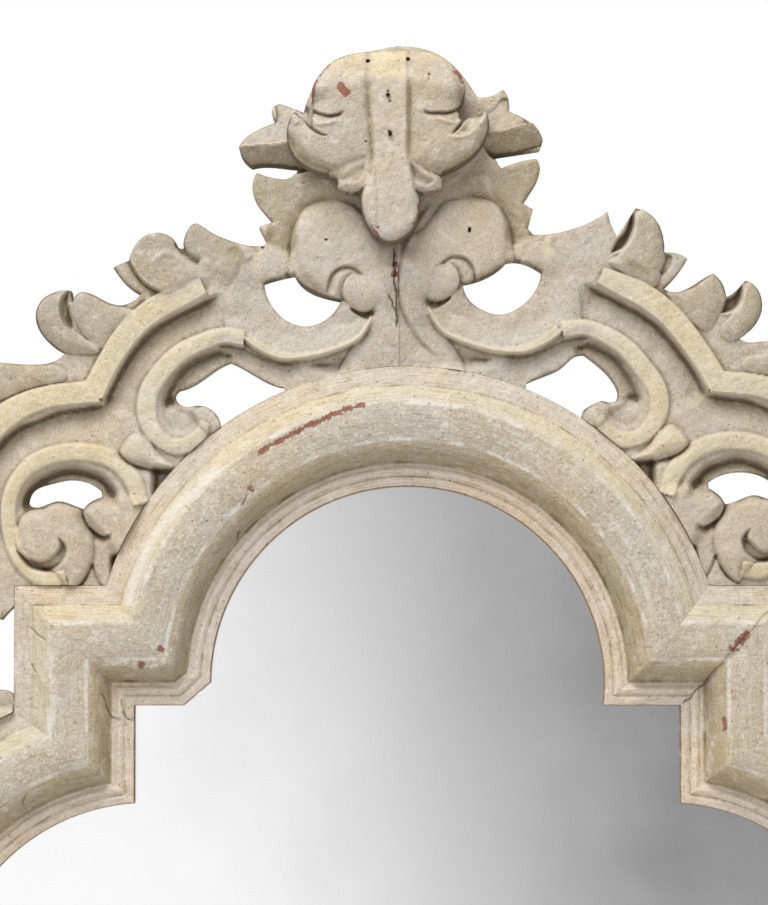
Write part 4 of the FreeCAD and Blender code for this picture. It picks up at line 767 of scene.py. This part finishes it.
def agedPaintGroup():
    # old paint over gesso and wood: stains, dirt with painted shade, worn edges, chips with a painted shadow
    # at their rim, pits painted dark as shade, and specks
    group = bpy.data.node_groups.new("agedPaint", "ShaderNodeTree")
    sockets = (("INPUT", "Color", ("Base", "Worn")), ("INPUT", "Float", ("Cavity", "Wear", "Chip", "Pit")),
               ("OUTPUT", "Color", ("Colour",)), ("OUTPUT", "Float", ("Roughness", "Height")))
    for way, kind, names in sockets:
        for name in names:
            group.interface.new_socket(name, in_out=way, socket_type="NodeSocket" + kind)
    given = {socket.name: Wire(group, socket) for socket in node(group, "NodeGroupInput").outputs}
    spot = objectSpot(group)
    grain = {name: noise(group, spot, *numbers) for name, numbers in paint["noise"].items()}
    broad, patch, middle, fine, grit = grain.values()

    def lay(colour, value, mask):
        low, high, strength, tone = mask
        return blend(group, ramp(value, low, high) * strength, colour, tone)

    def patchwork(value, mask):
        low, high, first, second = mask
        return blend(group, ramp(value, low, high), first, second)

    colour = blend(group, 1.0, given["Base"], patchwork(broad, paint["tint"]), "MULTIPLY")
    for name, low, high, strength, tone, kind in paint["stains"]:
        colour = blend(group, ramp(grain[name], low, high) * strength, colour, tone, kind)
    pepper = ramp(grit, *paint["pepperGrit"]) * ramp(patch, *paint["pepperPatch"])
    strength, tone = paint["pepper"]
    colour = blend(group, pepper * strength, colour, tone)
    # dirt and painted shade in the hollows and the creases
    coarse, small = paint["uneven"]
    uneven = (middle - 0.5) * coarse + (fine - 0.5) * small
    colour = lay(colour, given["Cavity"] + uneven, paint["hollow"])
    colour = lay(colour, given["Cavity"] + uneven * paint["creaseUneven"], paint["crease"])
    # worn edges and dark specks
    edges, small, least = paint["bareFrom"]
    bare = ramp(given["Wear"] * edges + (fine * small + grit * least), *paint["bare"])
    colour = blend(group, bare * paint["bareStrength"], colour, given["Worn"])
    cells = node(group, "ShaderNodeTexVoronoi", {"Vector": spot, "Scale": paint["speckScale"]}).outputs
    red = node(group, "ShaderNodeSeparateColor", {"Color": cells["Color"]}).outputs["Red"]
    speck = ramp(Wire(group, cells["Distance"]), *paint["speckSize"])
    speck = speck * ramp(Wire(group, red), *paint["speckPick"])
    strength, tone = paint["speck"]
    colour = blend(group, speck * strength, colour, tone)
    # chips with a brown rim that is a painted shadow, and pits painted dark as painted shade
    small, least = paint["broken"]
    broken = (fine - 0.5) * small + (grit - 0.5) * least
    ragged = given["Chip"] * paint["chipFrom"] + broken * ramp(given["Chip"], *paint["brokenFrom"])
    colour = lay(colour, ragged, paint["chipShadowRim"])
    colour = blend(group, ramp(ragged, *paint["chip"]), colour, patchwork(fine, paint["flake"]))
    # nearly black in holes and cracks: painted shade
    colour = blend(group, given["Pit"], colour, paint["pit"])
    share = paint["height"]
    height = fine * share["fine"] + grit * share["grit"] + middle * share["middle"]
    height = height - (speck * share["speck"] + bare * share["bare"])
    swing, least = paint["rough"]
    node(group, "NodeGroupOutput", {"Colour": colour, "Roughness": fine * swing + least, "Height": height})
    return group


agedPaint = agedPaintGroup()


def newMaterial(name):
    material = bpy.data.materials.new(name)
    material.use_nodes = True
    tree = material.node_tree
    return material, tree, tree.nodes["Principled BSDF"]


def paintedMaterial(name, baseOf, worn, bump):
    material, tree, shader = newMaterial(name)
    given = {label.capitalize(): attribute(tree, label) for label in ("cavity", "wear", "chip", "pit")}
    given.update(Base=baseOf(tree), Worn=worn)
    aged = node(tree, "ShaderNodeGroup", given, node_tree=agedPaint).outputs
    numbers = {"Height": aged["Height"], "Strength": bump, "Distance": paint["bump"]}
    raised = node(tree, "ShaderNodeBump", numbers).outputs["Normal"]
    feed(tree, shader, {"Base Color": aged["Colour"], "Roughness": aged["Roughness"], "Normal": raised,
                        "Specular IOR Level": paint["specular"]})
    return material


# colours of the carving, and the tones over which one turns into the next; hollow and olive stand for painted
# shade, with some olive paint in it
carvingLook = {"grey": (0.545, 0.478, 0.40), "cream": (0.66, 0.575, 0.425), "hollow": (0.45, 0.39, 0.30),
               "olive": (0.31, 0.25, 0.15), "worn": (0.70, 0.62, 0.50), "toCream": (0.0, 0.8),
               "toHollow": (0.05, 0.9), "toOlive": (0.8, 1.9), "bump": 0.55}


def carvingBase(tree):
    tone = attribute(tree, "tone")
    darker = tone * -1.0
    light = blend(tree, ramp(tone, *carvingLook["toCream"]), carvingLook["grey"], carvingLook["cream"])
    # below zero the tone turns to painted shade, deepest as olive
    shaded = blend(tree, ramp(darker, *carvingLook["toHollow"]), light, carvingLook["hollow"])
    return blend(tree, ramp(darker, *carvingLook["toOlive"]), shaded, carvingLook["olive"])


carvingPaint = paintedMaterial("carvingPaint", carvingBase, carvingLook["worn"], carvingLook["bump"])

# colour of each member of the moulding at its distance from the sight edge in millimetres
mouldingLook = {
    # the lip and bead are lighter than the face: painted light against the shade the face throws on them
    "members": ((0, (0.68, 0.585, 0.49)), (9, (0.74, 0.64, 0.54)), (17.6, (0.78, 0.675, 0.57)),
                (19.0, (0.46, 0.375, 0.26)), (34.8, (0.505, 0.425, 0.305)), (35.8, (0.57, 0.51, 0.42)),
                (39, (0.56, 0.495, 0.405)), (64, (0.56, 0.50, 0.41)), (67.5, (0.67, 0.60, 0.48)),
                (79.6, (0.69, 0.60, 0.44)), (81, (0.66, 0.57, 0.47)), (96, (0.68, 0.59, 0.49))),
    "worn": (0.78, 0.755, 0.69), "wood": (0.30, 0.20, 0.11), "bump": 0.6,
    "streak": {"along": 28.0, "across": 62.0, "noise": (1.0, 4, 0.65), "mask": (0.45, 0.72), "strength": 0.75,
               "colour": (0.66, 0.58, 0.47)},
    "fleck": {"noise": (420, 3, 0.7), "mask": (0.54, 0.64), "strength": 0.6, "middle": 0.55,
              "face": (0.22, 0.12)},
}


def mouldingBase(tree):
    across, run = attribute(tree, "across"), attribute(tree, "run")
    colours = node(tree, "ShaderNodeValToRGB", {"Fac": across})
    marks, members = colours.color_ramp.elements, mouldingLook["members"]
    for spot, colour in members[1:-1]:
        marks.new(spot / rail["widthMm"]).color = (*colour, 1)
    for end in (0, -1):
        marks[end].color = (*members[end][1], 1)
    streak, fleck = mouldingLook["streak"], mouldingLook["fleck"]
    drawn = node(tree, "ShaderNodeCombineXYZ", {"X": run * streak["along"], "Y": across * streak["across"]})
    lines = ramp(noise(tree, drawn.outputs["Vector"], *streak["noise"]), *streak["mask"]) * streak["strength"]
    colour = blend(tree, lines, colours.outputs["Color"], streak["colour"], "MULTIPLY")
    face = ramp((across - fleck["middle"]).combine("ABSOLUTE"), *fleck["face"])
    spots = ramp(noise(tree, objectSpot(tree), *fleck["noise"]), *fleck["mask"]) * face
    colour = blend(tree, spots * fleck["strength"], colour, mouldingLook["worn"])
    return blend(tree, across.combine("GREATER_THAN", -0.01), mouldingLook["wood"], colour)


mouldingPaint = paintedMaterial("mouldingPaint", mouldingBase, mouldingLook["worn"], mouldingLook["bump"])


def plainMaterial(name, colour, rough, metal=0.0, grain=60.0, change=0.25, stretch=(1, 1, 1)):
    material, tree, shader = newMaterial(name)
    spread = node(tree, "ShaderNodeMapping", {"Vector": objectSpot(tree), "Scale": stretch})
    spots = noise(tree, spread.outputs["Vector"], grain)
    darker = tuple(part * (1 - change) for part in colour)
    feed(tree, shader, {"Base Color": blend(tree, spots, darker, colour), "Metallic": metal,
                        "Roughness": spots * 0.2 + (rough - 0.1)})
    return material


# name, colour, roughness, metal, size and depth of the grain, stretch
plainLooks = {
    "mirror_glass": ("silverGlass", (0.98, 0.98, 0.98), 0.13, 1.0, 6, 0.01),
    "backboard_wood": ("backboardPine", (0.42, 0.28, 0.15), 0.75, 0, 9, 0.5, (9, 9, 0.7)),
    "bare_wood": ("bareWood", (0.34, 0.22, 0.12), 0.75, 0, 9, 0.45, (0.8, 9, 9)),
    "nail_iron": ("nailIron", (0.045, 0.035, 0.03), 0.7, 0.6, 300),
    "screw_steel": ("screwSteel", (0.42, 0.40, 0.37), 0.4, 1, 200),
    "hanger_steel": ("hangerSteel", (0.48, 0.47, 0.45), 0.38, 1, 120),
    "button_brass": ("buttonBrass", (0.62, 0.44, 0.18), 0.35, 1, 120),
    "bumper_rubber": ("bumperRubber", (0.035, 0.033, 0.03), 0.8, 0, 200),
}
backLooks = {"painted_moulding": ("railBack", (0.40, 0.27, 0.15), 0.78, 0, 9, 0.5, (9, 9, 0.8)),
             "painted_carving": ("boardBack", (0.45, 0.31, 0.18), 0.78, 0, 9, 0.5, (9, 9, 0.9))}
rawBack = {slot: plainMaterial(*look) for slot, look in backLooks.items()}
plain = {slot: plainMaterial(*look) for slot, look in plainLooks.items()}
for part in frame["record"]["subparts"]:
    if part["material_slot"] in plain:
        nodes[part["node"]].data.materials.clear()
        nodes[part["node"]].data.materials.append(plain[part["material_slot"]])
print("stage: materials")


# moulding section: distance from the sight edge and height, in millimetres
section = {"lip": ((0.6, 19.6), (6.2, 20.3), (7.2, 18.6), (8.2, 18.8), (8.8, 20.0)),
           "bead": ((8.8, 20.0), (15.2, 20.6), 3.7),
           "hollow": ((15.6, 19.8), (19.6, 20.3), (20.6, 21.6), (22, 25.0), (24, 29.6), (26, 33.4),
                      (28, 36.2), (30, 38.0), (32, 39.0), (34, 39.8)),
           "face": ((36, 40.6), (66.4, 43.2), 62),
           "rim": ((72.9, 39.7), (79.4, 36.0), (80.0, 34.4), (80.6, 34.4), (88, 32.2), (88.8, 30.8),
                   (95.4, 29.0)),
           "ease": 0.5, "fine": 0.1, "spread": 30, "beyond": 6, "rebate": (10, 10), "side": 0.8,
           "behind": 0.3}  # the keys stand just proud of the back


def arcRow(start, end, radius, count=16):
    # points of a round member between two corners
    (x0, y0), (x1, y1) = start, end
    half = math.hypot(x1 - x0, y1 - y0) / 2
    nx, ny = (y0 - y1) / (2 * half), (x1 - x0) / (2 * half)
    t = np.linspace(-1, 1, count)
    bow = np.sqrt(radius * radius - (t * half) ** 2) - math.sqrt(radius * radius - half * half)
    return list(zip(x0 + (x1 - x0) * (t + 1) / 2 + nx * bow, y0 + (y1 - y0) * (t + 1) / 2 + ny * bow))


def sectionRows(pitch):
    # the front of the moulding with its corners eased, as old paint does
    points = [*section["lip"], *arcRow(*section["bead"])[1:], *section["hollow"], *arcRow(*section["face"]),
              *section["rim"]]
    across = np.arange(points[0][0], points[-1][0] + pitch / 2, pitch)
    dense = np.arange(-section["beyond"], rail["widthMm"] + section["beyond"], section["fine"])
    heights = np.interp(dense, *np.transpose(points))
    spread = np.arange(-section["spread"], section["spread"] + 1) * section["fine"]
    kernel = np.exp(-0.5 * (spread / section["ease"]) ** 2)
    heights = np.convolve(heights, kernel / kernel.sum(), "same")
    return list(zip(across, np.interp(across, dense, heights)))


# the left corner of the sight edge is cut across, as in the photo
corner = {"start": (180, 708), "end": (209, 683), "full": 0.024, "none": 0.056, "run": (1.5, 2.5, 0.5),
          "rails": ("arch_rail_top", "shelf_rail_top_left")}


def cornerShift(x, z, across):
    (ax, az), (bx, bz) = (((u - photo["middleU"]) * photo["scale"], (photo["middleV"] - v) * photo["scale"])
                          for u, v in (corner["start"], corner["end"]))
    length = math.hypot(bx - ax, bz - az)
    nx, nz = (az - bz) / length, (bx - ax) / length
    away = (x - ax) * nx + (z - az) * nz
    run = ((x - ax) * (bx - ax) + (z - az) * (bz - az)) / length ** 2
    before, after, ease = corner["run"]
    near = smoothStep((run + before) / ease) * smoothStep((after - run) / ease)
    kept = 1 - smoothStep((across - corner["full"]) / (corner["none"] - corner["full"]))
    push = np.clip(across - away, 0, None) * near * kept
    return x + nx * push, z + nz * push


# handwork, wear, and dirt with painted shade in the grooves of the rails: strength, size, then place and
# width across, in millimetres
railAge = {"waves": ((0.4, 60), (0.22, 17)), "ends": 0.02, "patchy": (0.7, 46),
           "flaked": {"strength": 0.45, "size": 90, "gain": 1.6, "least": 0.2, "face": (38, 72), "ease": 6},
           "arris": ((37.4, 3.4), (66.2, 4.5)), "arrisGain": 1.2, "mostWorn": 0.78,
           "grooveDirtAndShade": ((19.6, 1.0, 3.0), (7.6, 0.8, 1.5), (80.3, 1.05, 1.5), (88.5, 0.75, 1.2),
                     (95.6, 0.6, 1.5)),
           "dirtAndShade": (0.8, 0.5, 40), "sharp": 50, "fewest": 12}


def railWear(run, across, seed):
    level, size = railAge["patchy"]
    patchy = level + level * waves(run, across, seed + 2, size)
    gain, flake = railAge["arrisGain"], railAge["flaked"]
    arris = [np.clip(gain - np.abs(across - spot) / wide, 0, 1) for spot, wide in railAge["arris"]]
    low, high = flake["face"]
    face = smoothStep((across - low) / flake["ease"]), smoothStep((high - across) / flake["ease"])
    loose = smoothStep(waves(run, across * 2, seed + 4, flake["size"]) * flake["gain"] - flake["least"])
    flaked = flake["strength"] * loose * face[0] * face[1]
    return np.maximum(np.max(arris, axis=0) * np.clip(patchy, 0, 1), flaked)


def railDirtAndShade(run, across, seed):
    # dark lines along the grooves and the outer edge: dirt and painted shade
    least, swing, size = railAge["dirtAndShade"]
    grooveDirtAndShade = [level * np.clip(1 - np.abs(across - spot) / wide, 0, 1)
             for spot, level, wide in railAge["grooveDirtAndShade"]]
    return np.max(grooveDirtAndShade, axis=0) * (least + swing * waves(run, across, seed + 3, size))


def mouldedRail(name, spotOf, length, step, pitch, seed):
    # spotOf gives x and z for a share along and a distance across
    front, width = sectionRows(pitch), rail["widthMm"]
    deep, high = section["rebate"]
    rows = [(deep, section["behind"]), (deep, high), (0, high), (0, front[0][1] - section["side"]), *front,
            (width, front[-1][1] - section["side"]), (width, section["behind"])]
    share = np.linspace(0, 1, max(railAge["fewest"], int(length / (step * detail))) + 1)
    across, height = (np.array(values)[:, None] + 0 * share for values in zip(*rows))
    gridX, gridZ = (np.zeros(across.shape) for _ in range(2))
    for j, row in enumerate(rows):
        gridX[j], gridZ[j] = spotOf(share, row[0] / 1000)
        if j > 1 and name in corner["rails"]:  # only the lip is cut
            gridX[j], gridZ[j] = cornerShift(gridX[j], gridZ[j], row[0] / 1000)
    shown = np.zeros(across.shape)
    shown[4:-2] = 1  # the front rows
    run = share[None, :] * length * 1000 + 0 * across
    ease = smoothStep(share / railAge["ends"]) * smoothStep((1 - share) / railAge["ends"])
    marks = Relief(photo["middleU"] + gridX / photo["scale"], photo["middleV"] - gridZ / photo["scale"], 0)
    marks.carve(railStrokes)
    uneven = sum(rise * waves(run, across, seed + k, size) for k, (rise, size) in enumerate(railAge["waves"]))
    height = height + shown * (ease * uneven + marks.sheet("h"))
    wear = np.clip(np.maximum(railWear(run, across, seed), marks.sheet("wear")), 0, 1)
    data = {"across": np.where(shown > 0, across / width, -1), "wear": shown * wear * railAge["mostWorn"],
            "cavity": shown * railDirtAndShade(run, across, seed), "run": run / 1000,
            "chip": marks.sheet("chip"), "pit": marks.sheet("pit")}
    bm, place = attributeGrid(gridX, height, gridZ, data)
    vertAt = {spot: vert for vert, spot in place.items()}
    rim = [bm.edges.get((vertAt[j, i], vertAt[j, i + 1]))
           for j in (0, len(rows) - 1) for i in range(len(share) - 1)]
    bmesh.ops.bridge_loops(bm, edges=rim)
    bmesh.ops.holes_fill(bm, edges=[e for e in bm.edges if e.is_boundary], sides=0)
    obj = dressNode(name + "_moulded", bm, "painted_moulding", mouldingPaint, railAge["sharp"])
    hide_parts(name)
    print("stage:", name, len(obj.data.vertices))


def turned(x, z, turn):
    c, s = math.cos(turn), math.sin(turn)
    return x * c - z * s, x * s + z * c


def lobeSpot(radius, reach, offset, turn):
    def spotOf(share, across):
        swing = math.acos((offset - reach + across) / (radius + across))
        angle = (share * 2 - 1) * swing
        return turned((radius + across) * np.sin(angle), reach + (radius + across) * np.cos(angle), turn)
    return spotOf


def straightSpot(radius, reach, offset, beyond, turn, way):
    def spotOf(share, across):
        meet = math.sqrt((radius + across) ** 2 - (offset - reach + across) ** 2)
        start, end = (meet, beyond + across) if way > 0 else (-beyond - across, -meet)
        level = np.full(np.shape(share), offset + across)
        return turned(start + (end - start) * share, level, turn)
    return spotOf


# the four sides: turn, lobe, then the straight rails after and before it
sides = {"top": (0, "arch", "shelf_rail_top_right", "shelf_rail_top_left"),
         "left": (90, "lobe", "step_rail_left_top", "step_rail_left_bottom"),
         "bottom": (180, "arch", "shelf_rail_bottom_left", "shelf_rail_bottom_right"),
         "right": (270, "lobe", "step_rail_right_bottom", "step_rail_right_top")}
lobes = {"arch": {"sizes": ("archRadius", "archRise", "halfHeight", "halfWidth"), "length": 0.70},
         "lobe": {"sizes": ("lobeRadius", "lobeReach", "halfWidth", "halfHeight"), "length": 0.64}}
# steps along the lobes and the straights in metres, pitch across in millimetres
fineness = {"top": (0.0011, 0.0009, 1.0), "left": (0.0016, 0.0009, 1.2), "right": (0.0016, 0.0009, 1.2),
            "bottom": (0.0025, 0.002, 1.6)}
straightLength = 0.08
railSeed = {"lobe": 11, "straight": 31}
for count, (side, (angle, kind, *straights)) in enumerate(sides.items()):
    turn = math.radians(angle)
    radius, reach, offset, beyond = (rail[size] for size in lobes[kind]["sizes"])
    lobeStep, straightStep, pitch = fineness[side]
    mouldedRail(kind + "_rail_" + side, lobeSpot(radius, reach, offset, turn), lobes[kind]["length"],
                lobeStep, pitch, railSeed["lobe"] + count)
    for way, name in zip((1, -1), straights):
        mouldedRail(name, straightSpot(radius, reach, offset, beyond, turn, way), straightLength,
                    straightStep, pitch, railSeed["straight"] + 2 * count + way)

# which boards touch, so that their joints stay square
joints = {}
for crest, word in (("crest", "top"), ("apron", "bottom")):
    for side, other in (("left", "right"), ("right", "left")):
        scroll = "shoulder_scroll_%s_%s" % (word, side)
        joints[crest + "_" + side] = (crest + "_" + other, scroll)
        joints[scroll] = (crest + "_" + side,)

gridSize = {"crest": 0.0010, "top": 0.0011, "bottom": 0.0016, "flank": 0.0018, "cartouche": 0.0008}
scrolls = crestStrokes + shoulderStrokes
leftCarving = ((None, leafStrokes + scrolls),)
rightCarving = ((None, rightLeafStrokes), (toRight, scrolls))
carvedBoard("crest_left", leftCarving + ((None, stemStrokes + leftStrokes),), gridSize["crest"], 3)
carvedBoard("crest_right", rightCarving + ((None, stemStrokes + rightStrokes),), gridSize["crest"], 5)
for word in ("top", "bottom"):
    carvedBoard("shoulder_scroll_%s_left" % word, leftCarving, gridSize[word], 7)
    carvedBoard("shoulder_scroll_%s_right" % word, rightCarving, gridSize[word], 9)
carvedBoard("apron_left", leftCarving, gridSize["bottom"], 13)
carvedBoard("apron_right", ((toRight, leafStrokes + scrolls),), gridSize["bottom"], 15)
carvedBoard("flank_scroll_left", ((None, flankStrokes),), gridSize["flank"], 17)
carvedBoard("flank_scroll_right", ((None, flankStrokes),), gridSize["flank"], 19, pixelOf=pixelsOver)
carvedBoard("cartouche", ((None, blockStrokes),), gridSize["cartouche"], 21, look=block)

floorLook = {"size": 3.0, "level": startBounds[0][2] - 0.002,
             "paint": ("floorPaint", (0.86, 0.86, 0.85), 0.8, 0, 3, 0.01)}
bm = bmesh.new()
bmesh.ops.create_grid(bm, x_segments=1, y_segments=1, size=floorLook["size"])
bmesh.ops.translate(bm, verts=bm.verts, vec=(0, 0, floorLook["level"]))
floorMesh = bpy.data.meshes.new("floor")
bm.to_mesh(floorMesh)
bm.free()
floor = addObject("floor", floorMesh)
floorMesh.materials.append(plainMaterial(*floorLook["paint"]))


def aimed(name, data, look):
    obj = addObject(name, data)
    obj.location = look["spot"]
    obj.rotation_euler = (Vector(look["aim"]) - Vector(look["spot"])).to_track_quat("-Z", "Y").to_euler()
    return obj


studio = {"spot": (-0.65, -1.5, 2.5), "aim": (0, 0, 0.42), "size": (1.7, 1.5), "power": 64,
          "ambient": 0.55, "slope": 0.22}
lamp = bpy.data.lights.new("softLight", "AREA")
lamp.shape = "RECTANGLE"
lamp.size, lamp.size_y = studio["size"]
lamp.energy = studio["power"]
lampObject = aimed("softLight", lamp, studio)
lampObject.visible_glossy = False

# the glass sees a room that is bright on the left and dimmer on the right
room = {"acrossX": -9.6, "upZ": -3.0, "middle": 0.61, "least": 0.24, "most": 1.0}
world = bpy.data.worlds.new("studio")
bpy.context.scene.world = world
world.use_nodes = True
tree = world.node_tree
tree.nodes.clear()
path = node(tree, "ShaderNodeLightPath").outputs
way = node(tree, "ShaderNodeSeparateXYZ", {"Vector": node(tree, "ShaderNodeTexCoord").outputs["Generated"]})
wayX, wayZ = (Wire(tree, way.outputs[axis]) for axis in "XZ")


def grey(value):
    channels = dict.fromkeys(("Red", "Green", "Blue"), value)
    return node(tree, "ShaderNodeCombineColor", channels).outputs["Color"]


glow = wayX * room["acrossX"] + wayZ * room["upZ"] + room["middle"]
glow = glow.combine("MAXIMUM", room["least"]).combine("MINIMUM", room["most"])
above = wayZ * studio["slope"] + studio["ambient"]
around = blend(tree, path["Is Glossy Ray"], grey(above), grey(glow))
seen = blend(tree, path["Is Camera Ray"], around, (1, 1, 1))
sky = node(tree, "ShaderNodeBackground", {"Color": seen, "Strength": 1.0})
node(tree, "ShaderNodeOutputWorld", {"Surface": sky.outputs["Background"]})

view = {"spot": (-0.0188, -3.5, 0.294), "aim": (-0.0188, -0.045, 0.4444), "lens": 202.5, "sensor": 36}
camera = bpy.data.cameras.new("camera")
camera.lens, camera.sensor_width, camera.sensor_fit = view["lens"], view["sensor"], "HORIZONTAL"
bpy.context.scene.camera = aimed("camera", camera, view)
bpy.context.scene.view_settings.view_transform = "Standard"
print("stage: light and camera")
